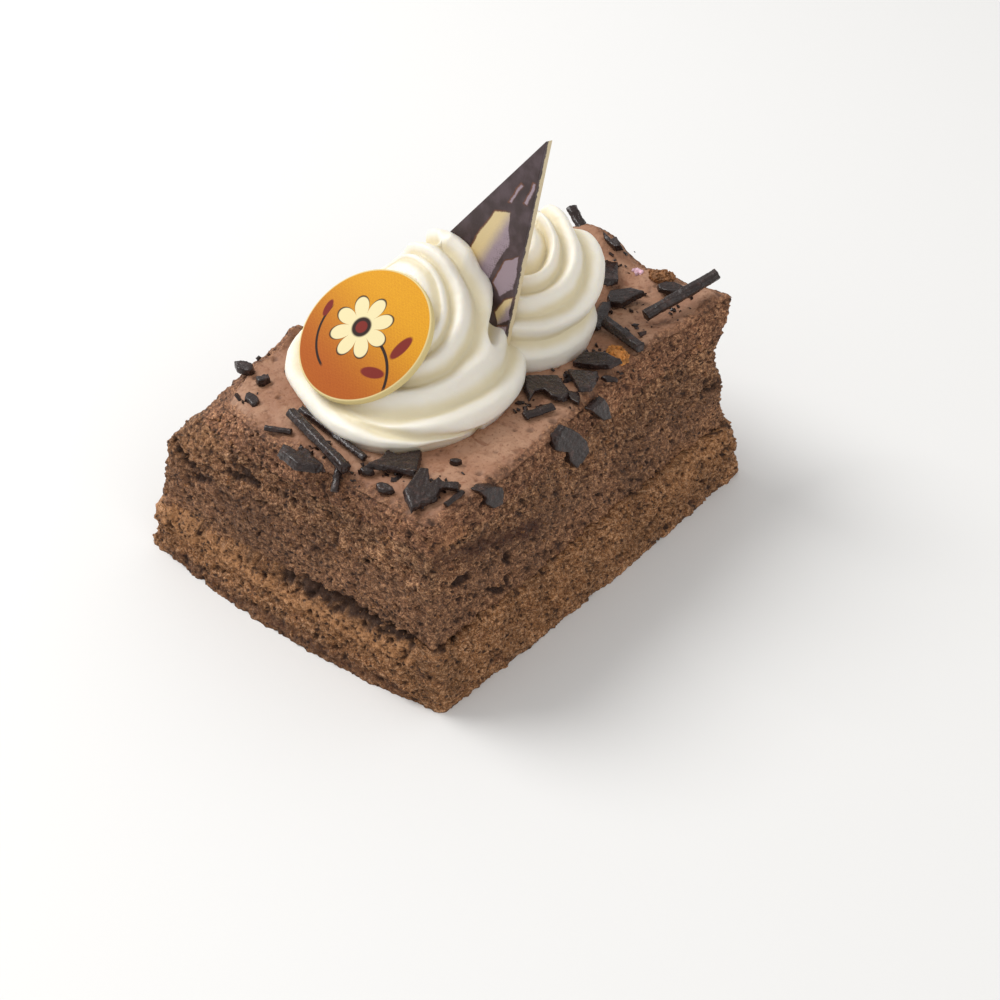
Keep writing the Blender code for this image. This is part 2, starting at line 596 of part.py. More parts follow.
def unit_outline(outline, chance):
    """A flake with an outline of its own, 1 long, 1 wide and 1 thick."""
    bm = bmesh.new()
    corners = len(outline)
    made = bmesh.ops.create_cone(
        bm, cap_ends=True, segments=corners, radius1=0.5, radius2=0.5, depth=1.0,
    )
    for vert in made["verts"]:
        turn = math.pi / 2 - math.atan2(vert.co.y, vert.co.x)
        x, y = outline[round(turn * corners / (2 * math.pi)) % corners]
        reached = 1.0 if vert.co.z < 0 else chance.uniform(0.84, 0.96)
        vert.co = (x * reached, y * reached, vert.co.z * chance.uniform(0.8, 1.0))
    bm.normal_update()
    caps = [f for f in bm.faces if len(f.verts) > 4]
    bmesh.ops.triangulate(bm, faces=caps, ngon_method="EAR_CLIP")
    return bm


def make_piece(piece, material, collection, grow=0.0):
    """A piece of chocolate in its place, or grown, the space that it needs."""
    chance = random.Random(piece.name)
    if piece.form in OUTLINES:
        bm = unit_outline(OUTLINES[piece.form], chance)
    else:
        bm = unit_stick(chance) if piece.form == "stick" else unit_flake(chance)
    turn = (
        Matrix.Translation(piece.place)
        @ Matrix.Rotation(math.radians(piece.heading), 4, "Z")
        @ Matrix.Rotation(math.radians(-piece.pitch), 4, "Y")
        @ Matrix.Rotation(math.radians(piece.roll), 4, "X")
    )
    length, width, thickness = (side + PIECE_SPACE * grow for side in piece.size)
    bmesh.ops.scale(bm, vec=(length, width, thickness), verts=bm.verts)
    bmesh.ops.transform(bm, matrix=turn, verts=bm.verts)
    return make_object(bm, piece.name, material, collection)


def hidden_bits():
    """Bits on the far side of the top, scattered like those that show."""
    chance = random.Random(21)
    bits = []
    for number in range(HIDDEN_BITS):
        x = chance.uniform(*HIDDEN_BITS_X)
        step = (HIDDEN_BITS_Y[1] - HIDDEN_BITS_Y[0]) / HIDDEN_BITS
        y = HIDDEN_BITS_Y[0] + step * (number + chance.uniform(0.2, 0.8))
        size = (chance.uniform(3.5, 7.5), chance.uniform(2.0, 3.4), 1.5)
        place = (x, y, top_height(x, y) + HIDDEN_BIT_RISE)
        form = chance.choice(("stick", "flake"))
        bits.append(Piece(f"hidden_{number}", form, place, size, chance.uniform(0, 180), 0, 0))
    return bits


# ---------------------------------------------------------------- cutting and joining


def use_modifiers(thing):
    """Make an object's modified shape its own."""
    bpy.context.view_layer.update()
    shape = thing.evaluated_get(bpy.context.evaluated_depsgraph_get())
    mesh = bpy.data.meshes.new_from_object(shape)
    thing.modifiers.clear()
    thing.data = mesh


def add_boolean(thing, operation, collection):
    """Cut with, or join, everything in a collection."""
    modifier = thing.modifiers.new(operation.title(), "BOOLEAN")
    modifier.operation = operation
    modifier.operand_type = "COLLECTION"
    modifier.collection = collection
    modifier.solver = "EXACT"
    use_modifiers(thing)


def keep_largest_body(thing):
    """Drop the loose scraps that a cut leaves."""
    bm = bmesh.new()
    bm.from_mesh(thing.data)
    left = set(bm.faces)
    bodies = []
    while left:
        body = [left.pop()]
        for face in body:
            beside = {other for edge in face.edges for other in edge.link_faces}
            body.extend(beside & left)
            left -= beside
        bodies.append(body)
    bodies.sort(key=len)
    scraps = [face for body in bodies[:-1] for face in body]
    bmesh.ops.delete(bm, geom=scraps, context="FACES")
    bm.to_mesh(thing.data)
    bm.free()


def remove_collection(collection):
    """Remove a collection and its objects."""
    for thing in list(collection.objects):
        bpy.data.objects.remove(thing)
    bpy.data.collections.remove(collection)


def build():
    """Model the whole slice."""
    clear_scene()
    model = make_collection("chocolate_mousse_slice")
    cutters = make_collection("cutters")
    bits = make_collection("bits")
    cream_cutters = make_collection("cream_cutters")
    sponge = make_material("sponge", SPONGE_BROWN, 0.9)
    mousse = make_material("mousse", MOUSSE_BROWN, 0.85)
    top_mousse = make_material("top_mousse", TOP_MOUSSE, 0.75)
    cream = make_material("cream", CREAM, 0.45)
    chocolate = make_material("dark_chocolate", DARK_CHOCOLATE, 0.3)
    marbled = make_material("marbled_chocolate", MARBLED_CHOCOLATE, 0.35)
    print_face = make_material("printed_disc", DISC_ORANGE, 0.4)

    fillings = (sponge, mousse, sponge, top_mousse)
    layers = [make_layer(level, filling, model) for level, filling in enumerate(fillings)]
    upper, top = layers[2:]
    front, back = (
        make_swirl(swirl, cells, swirl.name, cream, model)
        for swirl, cells in zip(SWIRLS, SWIRL_CELLS)
    )
    make_disc("disc", print_face, model)
    make_shard("shard", marbled, model)
    for piece in PIECES:
        make_piece(piece, chocolate, model)
        make_piece(piece, None, cutters, GAP)

    for bit in (*BITS, *hidden_bits()):
        make_piece(bit, None, bits)
    add_boolean(top, "UNION", bits)
    remove_collection(bits)

    make_shard("shard_slot", None, cutters, GAP)
    make_disc("disc_seat", None, cutters, GAP, DISC_SEAT_REACH)
    make_swirl(SWIRLS[1], SWIRL_CELLS[1], "cream_back_space", None, cream_cutters, 2 * GAP)
    for thing in (upper, top, front, back):
        add_boolean(thing, "DIFFERENCE", cutters)
    add_boolean(front, "DIFFERENCE", cream_cutters)
    for thing in (upper, top, front, back):
        keep_largest_body(thing)
    for thing in (*cutters.objects, *cream_cutters.objects):
        hide_cutter(thing)


build()
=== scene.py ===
"""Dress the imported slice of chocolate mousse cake, and light it on a pale floor.

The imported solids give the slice's form.  Each operator below makes one piece, or one
group of like pieces, at full detail: crumbs and pores in the cut faces, soft ridges in
the cream, broken faces on the chocolate.  Sizes are in millimetres until finish_piece(),
which turns them into metres.  The foot of the slice is at 0 and +Z is up.
"""

import itertools
import math
import random
from bisect import bisect_right
from collections import namedtuple
from functools import lru_cache

import bmesh
import bpy
from bpy.props import FloatProperty, FloatVectorProperty, IntProperty, PointerProperty
from mathutils import Matrix, Vector, noise
from mathutils.geometry import intersect_point_line


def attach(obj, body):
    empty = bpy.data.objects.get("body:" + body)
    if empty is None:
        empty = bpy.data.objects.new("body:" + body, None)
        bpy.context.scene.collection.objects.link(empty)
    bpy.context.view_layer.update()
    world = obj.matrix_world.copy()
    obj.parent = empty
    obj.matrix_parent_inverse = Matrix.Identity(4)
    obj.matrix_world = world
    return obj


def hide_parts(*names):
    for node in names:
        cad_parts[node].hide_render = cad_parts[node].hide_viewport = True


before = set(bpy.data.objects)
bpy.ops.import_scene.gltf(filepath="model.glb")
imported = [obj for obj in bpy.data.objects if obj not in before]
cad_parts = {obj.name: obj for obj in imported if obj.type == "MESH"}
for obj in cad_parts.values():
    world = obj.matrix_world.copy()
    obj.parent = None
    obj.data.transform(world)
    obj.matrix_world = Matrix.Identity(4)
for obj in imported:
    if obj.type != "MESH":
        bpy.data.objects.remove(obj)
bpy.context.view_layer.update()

bl_info = {
    "name": "Chocolate mousse cake slice",
    "version": (1, 0, 0),
    "blender": (4, 5, 0),
    "location": "View3D > Sidebar > Mousse cake",
    "description": "Crumb, cream and chocolate for a slice of mousse cake",
    "category": "Object",
}

MM = 0.001

# ---------------------------------------------------------------- the slice's form

TOP_HEIGHT = 39.0
LEFT_SIDE = ((0, -38.5), (14, -35.8), (27, -32.4), (34, -29.0), (39, -26.0))
RIGHT_SIDE = ((0, 38.5), (3, 38.2), (14, 36.6), (27, 35.2), (39, 33.6))
FRONT_SIDE = ((0, -47.0), (14, -46.4), (27, -45.6), (39, -43.6))
BACK_SIDE = ((0, 47.0), (3, 46.8), (16, 43.8), (24, 42.8), (31, 42.0), (35, 45.0), (39, 48.2))
FOOT_SIZE = (77.0, 94.0)
FOOT_BOW = 3.4
FOOT_BOW_LONG = 0.9
FOOT_BOW_HEIGHT = 13.0
RIM_BOW = (-1.6, 1.9)
CHIP_DEPTH = 6.0
CHIP_REACH = 17.0
CHIP_HEIGHTS = (26.0, 38.0)
CHIP_DIRECTION = (0.75, 0.66)
CORNER_ROUND = 1.3
RIM_ROUND = 0.9

SEAMS = (13.6, 24.6, 33.2)
SEAM_WAVE = 0.55
SEAM_WAVE_SIZE = 13.0
SEAM_WAVE_REACH = 9.5
SEAM_RAGGED = 0.5
CRUMB = 0.55
CRUMB_SIZE = 5.0
FINE_CRUMB = 0.33
FINE_CRUMB_SIZE = 2.25
CRUMB_FLATNESS = 1.35
GRAIN_SIZE = 1.9
CLUMP_SIZE = 1.3
LEDGE = 0.55
LEDGE_SIZE = 2.6
LEDGE_STRETCH = (0.4, 1.2)
FOOT_LEDGE = 0.6
FOOT_LEDGE_SIZE = 7.0
FOOT_LEDGE_HEIGHTS = (4.5, 8.0)
FRAY = 2.2
FRAY_SIZE = 1.6
LIP_WIDTH = 2.5
LIP_DROP = 0.3
SAG = 4.0
SAG_START = 32.0
SAG_WIDTH = 58.0
SAG_REACH = 24.0

SWELL = 0.55
SWELL_SIZE = 9.0
RIM_DROP = 0.9
RIM_WIDTH = 3.0
PEAKS = (
    (-25.5, -17.0, 3.2, 3.2),
    (30.5, 46.0, 3.0, 7.0),
    (17.0, 45.0, 1.6, 4.0),
    (31.0, 27.0, 1.2, 6.0),
    (0.5, 46.0, 6.0, 8.5),
    (-24.0, 20.0, 1.4, 6.0),
    (-22.5, -43.0, -3.4, 5.5),
    (24.0, 33.0, -0.7, 4.0),
)
PAD_HEIGHT = 39.2
PAD_MARGIN = 2.0
TOP_LUMP, TOP_LUMP_SIZE = 0.24, 3.4
TOP_FINE, TOP_FINE_SIZE = 0.10, 1.1
TOP_PIT, TOP_PIT_SIZE = 0.34, 2.6
TOP_SMALL_PIT, TOP_SMALL_PIT_SIZE = 0.16, 1.25
TOP_CRUMB, TOP_CRUMB_SIZE = 0.42, 1.6

# How a cut face is torn: how far it stands out, the height of its clumps, grains and
# crumbs, and the depth and spacing of its pores.
Cut = namedtuple("Cut", "name outset torn grain clump pore pore_size")
CUTS = (
    Cut("sponge_base", 0.6, 1.0, 0.66, 0.40, 1.0, 2.4),
    Cut("mousse_middle", 0.0, 0.9, 0.62, 0.30, 0.7, 2.1),
    Cut("sponge_upper", 0.1, 0.9, 0.68, 0.36, 0.9, 2.2),
    Cut("mousse_top", 0.2, 0.8, 0.56, 0.26, 0.8, 1.7),
)

# Cracks and hollows in the cut faces, as (start, end, width, depth), which the crumb colour fills with
# painted shade.
HOLLOWS = (
    ((-22, -47.6, 10.7), (-12, -48.0, 10.6), 0.8, 1.2),
    ((-12, -48.0, 10.6), (-1, -48.0, 11.4), 1.2, 2.3),
    ((-1, -48.0, 11.4), (13, -47.6, 12.4), 1.4, 2.9),
    ((13, -47.6, 12.4), (24, -47.2, 12.6), 1.3, 2.7),
    ((24, -47.2, 12.6), (31, -46.8, 13.6), 1.0, 1.8),
    ((-27, -46.4, 21.0), (-21, -46.2, 23.5), 0.9, 1.5),
    ((-16, -45.4, 27.0), (-8, -45.4, 28.0), 0.8, 1.6),
    ((-13, -45.0, 31.0), (-10.2, -45.0, 28.2), 1.1, 1.8),
    ((-29, -46.4, 26.0), (-24.5, -46.2, 23.6), 1.1, 1.8),
    ((-3.4, -46.0, 29.2), (1.6, -46.0, 29.6), 0.9, 1.5),
    ((4, -46.0, 22.4), (8, -46.0, 21.8), 0.6, 1.0),
    ((36.2, -25.4, 21.2), (36.4, -24.2, 19.6), 0.9, 2.0),
    ((36.4, -31.6, 17.4), (36.6, -26.6, 15.0), 0.7, 1.6),
    ((36.6, -26.6, 15.0), (36.4, -23.9, 17.2), 0.6, 1.4),
    ((35.8, -39.4, 24.2), (35.8, -35.6, 23.2), 0.8, 1.5),
    ((38.2, 14.6, 4.2), (38.0, 19.6, 6.4), 0.6, 1.2),
    ((35.6, 36.6, 23.4), (35.4, 42.4, 24.4), 0.5, 1.5),
    ((35.8, 22.0, 30.6), (35.4, 27.0, 32.4), 0.9, 0.8),
    ((36.6, 26.4, 15.6), (36.6, 29.4, 16.6), 0.6, 0.9),
    ((36.2, -14.4, 14.2), (36.4, -12.4, 15.0), 0.5, 0.9),
    ((36.0, 0.6, 21.0), (36.0, 6.0, 23.6), 0.5, 0.8),
    ((-30.0, -24.0, 30.0), (-33.0, -12.0, 26.0), 0.8, 1.2),
    ((-36.0, 8.0, 13.6), (-36.0, 34.0, 13.2), 0.7, 1.4),
    ((-12.0, 45.0, 13.4), (22.0, 45.0, 13.8), 0.7, 1.4),
)

# Streaks in the cut faces, as (start, end, width, darkness), golden where below 0. Some are painted light and
# shade: the golden streaks along the foot's upward-facing ledge, and the dark band of contact shadow along
# the foot.
STREAKS = (
    ((36.0, -42.5, 31.5), (36.2, -16.4, 23.4), 2.2, 0.55),
    ((35.8, 15.0, 35.0), (35.4, 27.0, 33.0), 2.4, 0.60),
    ((36.2, -12.0, 31.0), (36.0, -4.0, 28.0), 2.0, 0.35),
    ((36.0, -3.0, 29.5), (36.0, 4.0, 30.5), 2.6, -0.50),
    ((36.6, -34.0, 5.0), (37.5, 40.0, 6.0), 4.5, -0.12),
    # Painted light on the ledge of the foot sponge, where it faces up.
    ((-32.0, -48.0, 9.0), (6.0, -49.5, 8.8), 2.2, -0.80),
    ((6.0, -49.5, 8.8), (30.0, -47.6, 10.4), 2.4, -0.70),
    ((36.4, -44.0, 34.0), (36.0, -37.0, 33.0), 2.4, -0.45),
    ((-30.0, -47.0, 26.0), (-22.0, -45.0, 32.0), 4.0, -0.25),
    ((-20.0, -46.0, 20.0), (10.0, -46.0, 25.0), 5.0, 0.22),
    # Painted contact shadow along the front of the foot.
    ((0.0, -50.4, 1.5), (30.0, -47.8, 1.5), 2.4, 0.45),
    ((-34.0, -49.0, 1.5), (0.0, -50.4, 1.5), 2.4, 0.45),
    ((37.8, 24.0, 12.0), (36.6, 44.0, 10.0), 5.0, -0.25),
)

# ---------------------------------------------------------------- cream and decorations

# A piped swirl: its smooth outer form, and the coil of ridges on it.  Dents give a
# direction, a depth, a width in degrees, and the share of the height where they lie and
# how far they spread.  Grooves are counted from the foot: low down by their height, further
# up by their reach from a line through the eye.  A fold runs through (direction, height)
# points.
Swirl = namedtuple(
    "Swirl", "name centre radius height lean profile dents eye axis heights reaches depths"
    " fold seed",
)
LOW_SWIRL = (
    (0.0, 0.95), (0.08, 1.0), (0.19, 0.97), (0.28, 0.88), (0.37, 0.79),
    (0.48, 0.70), (0.60, 0.60), (0.72, 0.47), (0.83, 0.34), (0.92, 0.22), (1.0, 0.05),
)
ROUND_SWIRL = (
    (0.0, 0.95), (0.12, 0.96), (0.28, 0.98), (0.45, 1.0), (0.54, 0.97), (0.62, 0.91),
    (0.72, 0.78), (0.80, 0.62), (0.90, 0.42), (0.96, 0.25), (1.0, 0.05),
)
FRONT_DENTS = (
    (-112.0, 2.4, 28.0, 0.0, 0.4), (-45.0, -1.9, 26.0, 0.0, 0.4),
    (40.0, 1.6, 30.0, 0.30, 0.2), (-160.0, 2.4, 50.0, 0.65, 0.25),
    (30.0, 2.4, 14.0, 0.42, 0.07), (74.0, 1.4, 20.0, 0.74, 0.05),
    (56.0, 0.9, 20.0, 0.52, 0.10), (110.0, -1.6, 80.0, 0.93, 0.07),
)
FRONT_HEIGHTS = ((39.3, 1.45), (45.4, 2.0), (48.9, 3.0), (52.0, 4.0), (64.4, 8.0))
BACK_HEIGHTS = ((39.3, 0.45), (44.9, 1.0), (48.5, 2.0), (62.5, 6.0))
FRONT_REACHES = ((9.5, 5.68), (11.9, 5.0), (13.9, 4.0), (18.2, 3.0), (24.0, 2.0), (31.0, 1.0))
BACK_REACHES = ((4.0, 4.68), (6.5, 4.0), (10.05, 3.0), (15.64, 2.0), (24.0, 1.0))
FRONT_DEPTHS = ((1.0, 1.5), (2.0, 1.8), (3.0, 2.4), (4.0, 1.5), (5.0, 0.4), (6.0, 0.4))
BACK_DEPTHS = ((1.0, 1.8), (2.0, 2.0), (3.0, 2.1), (4.0, 2.6))
FRONT_FOLD = ((-104.0, 45.0), (-82.0, 44.6), (-60.0, 43.9), (-34.0, 42.6), (-16.0, 40.8), (-6.0, 39.4))
SWIRLS = (
    Swirl(
        "cream_front", (0.8, -14.2), 23.4, 24.6, (-1.8, 13.6), LOW_SWIRL, FRONT_DENTS,
        (-1.93, -15.23, 52.0), (0.0, -0.5838, 0.8119), FRONT_HEIGHTS, FRONT_REACHES,
        FRONT_DEPTHS, FRONT_FOLD, 3.0,
    ),
    Swirl(
        "cream_back", (7.5, 12.9), 15.1, 22.6, (-2.4, 8.8), ROUND_SWIRL, (),
        (-3.58, 17.8, 54.0), (0.7508, -0.4328, 0.4990), BACK_HEIGHTS, BACK_REACHES,
        BACK_DEPTHS, (), 8.0,
    ),
)
RIDGE_CREST = 0.66
RIDGE_BLEND = 4.0
RIDGE_ROUNDNESS = 0.35
TINY_STEP = 0.01
FOLD_DEPTH = 1.2
FOLD_WIDTH = 0.9
FOLD_EASE = 15.0
CREAM_SKIN = (0.06, 1.1)
CREAM_BULGE = (0.22, 5.0)
CREAM_UNEVENNESS = 0.02
CREAM_UNEVENNESS_SIZE = 1.4
LEAN_EASE = 1.2
CREAM_SEED = 4
CREAM_FOOT = 39.5
CREAM_SINK = 0.8

DISC_CENTRE = Vector((-0.57, -22.5, 53.25))
DISC_NORMAL = Vector((-0.032, -0.567, 0.823)).normalized()
DISC_RIGHT = Vector((0.8166, 0.4601, 0.3487)).normalized()
DISC_RADIUS = 13.6
DISC_THICKNESS = 1.6
DISC_GAP = 0.05
DISC_EDGE_RISE = 3.0
DISC_EDGE_REACH = 6.0
SHARD_TIP = Vector((15.3, 10.1, 84.7))
SHARD_LEAN = 14.3
SHARD_EDGE = 43.5
SHARD_POINT_ANGLE = 35.5
SHARD_EDGE_LEAN = 2.1
SHARD_THICKNESS = 2.0

CHOCOLATE_NODES = (
    "curl_front", "stick_under_cream", "flake_front_edge", "flake_by_cream_front",
    "flake_star", "flake_in_side", "flake_by_cream_right", "flake_broad", "flake_narrow",
    "flake_oval", "stick_right", "flake_beside_cream", "flake_boat", "flake_square",
    "stick_corner", "flake_back_edge", "flake_back_cream",
)
ROUGH_NODES = ("curl_front", "flake_front_edge", "stick_under_cream", "flake_back_cream")

# Outlines of bits that broke in their own way, from -0.5 to 0.5 along their two sides.
OUTLINES = {
    "chunk": (
        (-0.26, 0.12), (-0.36, -0.05), (-0.07, -0.44), (0.32, -0.50), (0.50, -0.25),
        (0.44, 0.03), (0.20, 0.26), (-0.21, 0.47), (-0.50, 0.50),
    ),
    "wedge": (
        (-0.31, 0.22), (0.06, -0.29), (0.50, -0.50), (0.43, 0.12), (0.27, 0.50), (-0.50, 0.50),
    ),
}

# Small bits on the mousse: (x, y, height of its middle), its length, width and thickness,
# and how it is turned about Z and tipped up and over.
Piece = namedtuple("Piece", "name form place size heading pitch roll")
BITS = (
    Piece("left_edge", "flake", (-24.8, -31.0, 39.6), (5.0, 3.2, 1.6), 10.0, 0, 8),
    Piece("left_inner", "flake", (-19.0, -31.6, 39.6), (3.2, 2.8, 1.6), 30.0, 0, 0),
    Piece("thin_stick", "stick", (-5.6, -41.0, 39.6), (5.4, 1.5, 1.3), 26.0, 0, 0),
    Piece("embedded", "flake", (-16.6, -36.8, 38.9), (5.0, 3.0, 1.4), -25.0, 0, 0),
    Piece("front_hanging", "stick", (11.8, -43.6, 38.9), (6.0, 1.8, 1.5), -60.0, -30, 0),
    Piece("by_curl", "flake", (15.4, -39.6, 39.7), (3.0, 2.2, 1.2), 15.0, 0, 0),
    Piece("by_star_right", "stick", (32.4, -35.6, 39.7), (5.0, 1.4, 1.2), 92.0, 0, 0),
    Piece("by_star_left", "flake", (21.0, -41.2, 39.5), (4.2, 2.4, 1.3), 10.0, 0, 10),
    Piece("in_corner_side", "chunk", (34.3, -28.6, 37.2), (6.8, 6.2, 2.6), 93.0, 0, 80),
    Piece("in_side_high", "wedge", (33.4, 4.4, 36.2), (6.4, 5.6, 1.8), 93.0, 0, 80),
    Piece("under_stick", "flake", (22.6, 42.4, 41.0), (7.0, 4.6, 1.3), 30.0, 0, 8),
    Piece("under_curl_end", "flake", (25.6, -27.4, 39.6), (2.6, 1.8, 1.2), 30.0, 0, 0),
    Piece("between_flakes", "wedge", (29.4, 1.2, 39.8), (4.0, 3.4, 1.0), 20.0, 0, 0),
    Piece("beside_oval", "flake", (31.0, 10.6, 39.7), (3.6, 1.8, 1.0), 30.0, 0, 0),
)
GOLDEN_CRUMB = Piece("golden_crumb", "crumb", (27.3, 18.2, 39.6), (6.8, 4.2, 1.8), -30.0, 0, 0)
CRUMB_BUMP = Piece("crumb_bump", "crumb", (18.2, 44.6, 41.0), (6.4, 4.2, 2.4), 20.0, 0, 0)
PINK_BIT = Piece("pink_bit", "crumb", (12.6, 44.2, 39.9), (2.6, 2.0, 1.8), 0.0, 0, 0)
HIDDEN_BITS = 9
HIDDEN_BITS_X = (-24.5, -15.5)
HIDDEN_BITS_Y = (4.0, 42.0)
HIDDEN_BIT_RISE = 0.3
FLAKE_CORNERS = 9
FACET_SIZE = 1.9
SKIN_RIDGE = 0.4
SKIN_GRAIN = 0.7
CORNER_WAYS = [Vector(signs) for signs in itertools.product((-1, 0, 1), repeat=3) if any(signs)]

# Where the specks of chocolate gather on the mousse, as (x, y, spread, how many).
SPECK_CLUSTERS = (
    (2.0, -41.5, 3.5, 16), (12.0, -40.5, 4.0, 14), (20.0, -36.5, 3.0, 10),
    (26.0, -36.0, 4.5, 18), (23.5, -5.0, 4.0, 20), (25.5, 6.0, 4.5, 24),
    (26.0, 17.0, 4.5, 22), (24.0, 27.0, 4.5, 14), (18.0, 35.0, 4.5, 14),
    (26.0, 39.0, 5.0, 14), (8.0, 43.0, 5.0, 14), (-8.0, 43.0, 5.0, 12),
    (-19.0, -32.0, 5.0, 8), (-20.0, 14.0, 6.0, 14), (-19.0, 32.0, 7.0, 14),
)

CAMERA_TARGET = Vector((6.74, 7.48, 0.0))
CAMERA_AZIMUTH = 39.96
CAMERA_ELEVATION = 38.48
CAMERA_DISTANCE = 413.0
CAMERA_LENS = 72.0
# Lights, as (name, how far right of the slice, nearer the camera and up, size) in metres.
LIGHTS = (("Key", -0.55, -0.25, 0.70, 0.55), ("Fill", 0.45, 0.85, 0.55, 0.7))


def srgb(red, green, blue):
    """A colour as scene-linear values, from the 0 to 255 of a screen."""
    values = (channel / 255 for channel in (red, green, blue))
    return tuple(v / 12.92 if v <= 0.04045 else ((v + 0.055) / 1.055) ** 2.4 for v in values)


def colour(name, description, value):
    """A colour that a user can pick."""
    return FloatVectorProperty(
        name=name, description=description, subtype="COLOR", size=3, min=0.0, max=1.0,
        default=value,
    )


def length(name, description, millimetres, low=0.0, high=100.0):
    """A length that a user can set."""
    return FloatProperty(
        name=name, description=description, subtype="DISTANCE", unit="LENGTH", precision=5,
        default=millimetres * MM, min=low * MM, max=high * MM,
    )


# ---------------------------------------------------------------- curves and noise


def smoothstep(value):
    """0 below 0, 1 above 1, with an even rise between."""
    share = min(max(value, 0.0), 1.0)
    return share * share * (3.0 - 2.0 * share)


@lru_cache(maxsize=None)
def read_curve(points, position):
    """The height at a position of a smooth curve through (position, height) points."""
    keys = [key for key, _ in points]
    first = min(max(bisect_right(keys, position) - 1, 0), len(points) - 2)
    (start, low), (end, high) = points[first], points[first + 1]
    before = points[max(first - 1, 0)]
    after = points[min(first + 2, len(points) - 1)]
    span = end - start
    slope_in = (high - before[1]) / (end - before[0]) * span
    slope_out = (after[1] - low) / (after[0] - start) * span
    s = min(max((position - start) / span, 0.0), 1.0)
    return (
        (2 * s**3 - 3 * s**2 + 1) * low
        + (s**3 - 2 * s**2 + s) * slope_in
        + (3 * s**2 - 2 * s**3) * high
        + (s**3 - s**2) * slope_out
    )


def read_line(points, position):
    """The height at a position of the straight lines through (position, height) points."""
    for (start, low), (end, high) in zip(points, points[1:]):
        if position < end:
            break
    share = min(max((position - start) / (end - start), 0.0), 1.0)
    return low + (high - low) * share


def slice_point(u, v, height):
    """The place of a point at shares u (left to right) and v (front to back) of the slice."""
    foot = max(0.0, 1.0 - height / FOOT_BOW_HEIGHT)
    crown = min(1.0, height / TOP_HEIGHT) ** 2
    rim = RIM_BOW[0] * math.sin(math.pi * v) + RIM_BOW[1] * math.sin(2 * math.pi * v)
    long_bow = FOOT_BOW_LONG * foot * 4 * v * (1 - v)
    short_bow = FOOT_BOW * foot * 4 * u * (1 - u)
    left = read_curve(LEFT_SIDE, height) - long_bow
    right = read_curve(RIGHT_SIDE, height) + long_bow + rim * crown
    front = read_curve(FRONT_SIDE, height) - short_bow
    back = read_curve(BACK_SIDE, height) + short_bow
    x = left + (right - left) * u
    y = front + (back - front) * v
    reach = 1.0 - (u * (right - left) + v * (back - front)) / CHIP_REACH
    low, high = CHIP_HEIGHTS
    chip = CHIP_DEPTH * smoothstep((height - low) / (high - low)) * max(0.0, reach)
    return x + CHIP_DIRECTION[0] * chip, y + CHIP_DIRECTION[1] * chip


def seam_height(seam, x, y, border):
    """A seam is level in the middle of the slice, and waves and frays near its sides."""
    near_side = 1.0 - smoothstep(border / SEAM_WAVE_REACH)
    level = SEAMS[seam]
    wave = SEAM_WAVE * noise.noise((x / SEAM_WAVE_SIZE, y / SEAM_WAVE_SIZE, level))
    wave += SEAM_RAGGED * noise.fractal((x / 2.6, y / 2.6, level), 0.9, 2.0, 3)
    height = level + near_side * wave
    if seam == 0:
        behind = smoothstep((y - FRONT_SIDE[0][1]) / SAG_REACH)
        height -= SAG * smoothstep((SAG_START - x) / SAG_WIDTH) * (1.0 - behind)
    return height


def top_height(x, y):
    """The mousse's surface: waves, peaks, and level pads under the cream."""
    height = TOP_HEIGHT + SWELL * noise.noise((x / SWELL_SIZE, y / SWELL_SIZE, 5.0))
    for peak_x, peak_y, rise, width in PEAKS:
        distance = math.hypot(x - peak_x, y - peak_y) / width
        height += rise * math.exp(-distance * distance)
    for swirl in SWIRLS:
        distance = math.hypot(x - swirl.centre[0], y - swirl.centre[1])
        outside = smoothstep((distance - swirl.radius - 0.5) / PAD_MARGIN)
        height = PAD_HEIGHT + (height - PAD_HEIGHT) * outside
    return height


def pore_at(place, spacing, share, shift=0.0):
    """How deep in a pore a point is, 0 to 1; a share of the cells between pores has none."""
    distances, points = noise.voronoi(place / spacing + Vector((shift, shift, shift)))
    chance = noise.cell(points[0] * 31.7)
    if abs(chance) > share:
        return 0.0
    reach = 0.16 + 0.26 * abs(chance) / share
    return smoothstep((reach - distances[0]) / 0.14)


def near_segments(place, segments):
    """The strongest of (start, end, width, amount) marks at a point, by its distance."""
    found = 0.0
    for start, end, width, amount in segments:
        reach = 3.0 * width
        if not min(start[2], end[2]) - reach < place.z < max(start[2], end[2]) + reach:
            continue
        if not min(start[1], end[1]) - reach < place.y < max(start[1], end[1]) + reach:
            continue
        start, end = Vector(start), Vector(end)
        nearest, share = intersect_point_line(place, start, end)
        nearest = start.lerp(end, min(max(share, 0.0), 1.0))
        mark = amount * math.exp(-(((place - nearest).length / width) ** 2))
        found = mark if abs(mark) > abs(found) else found
    return found


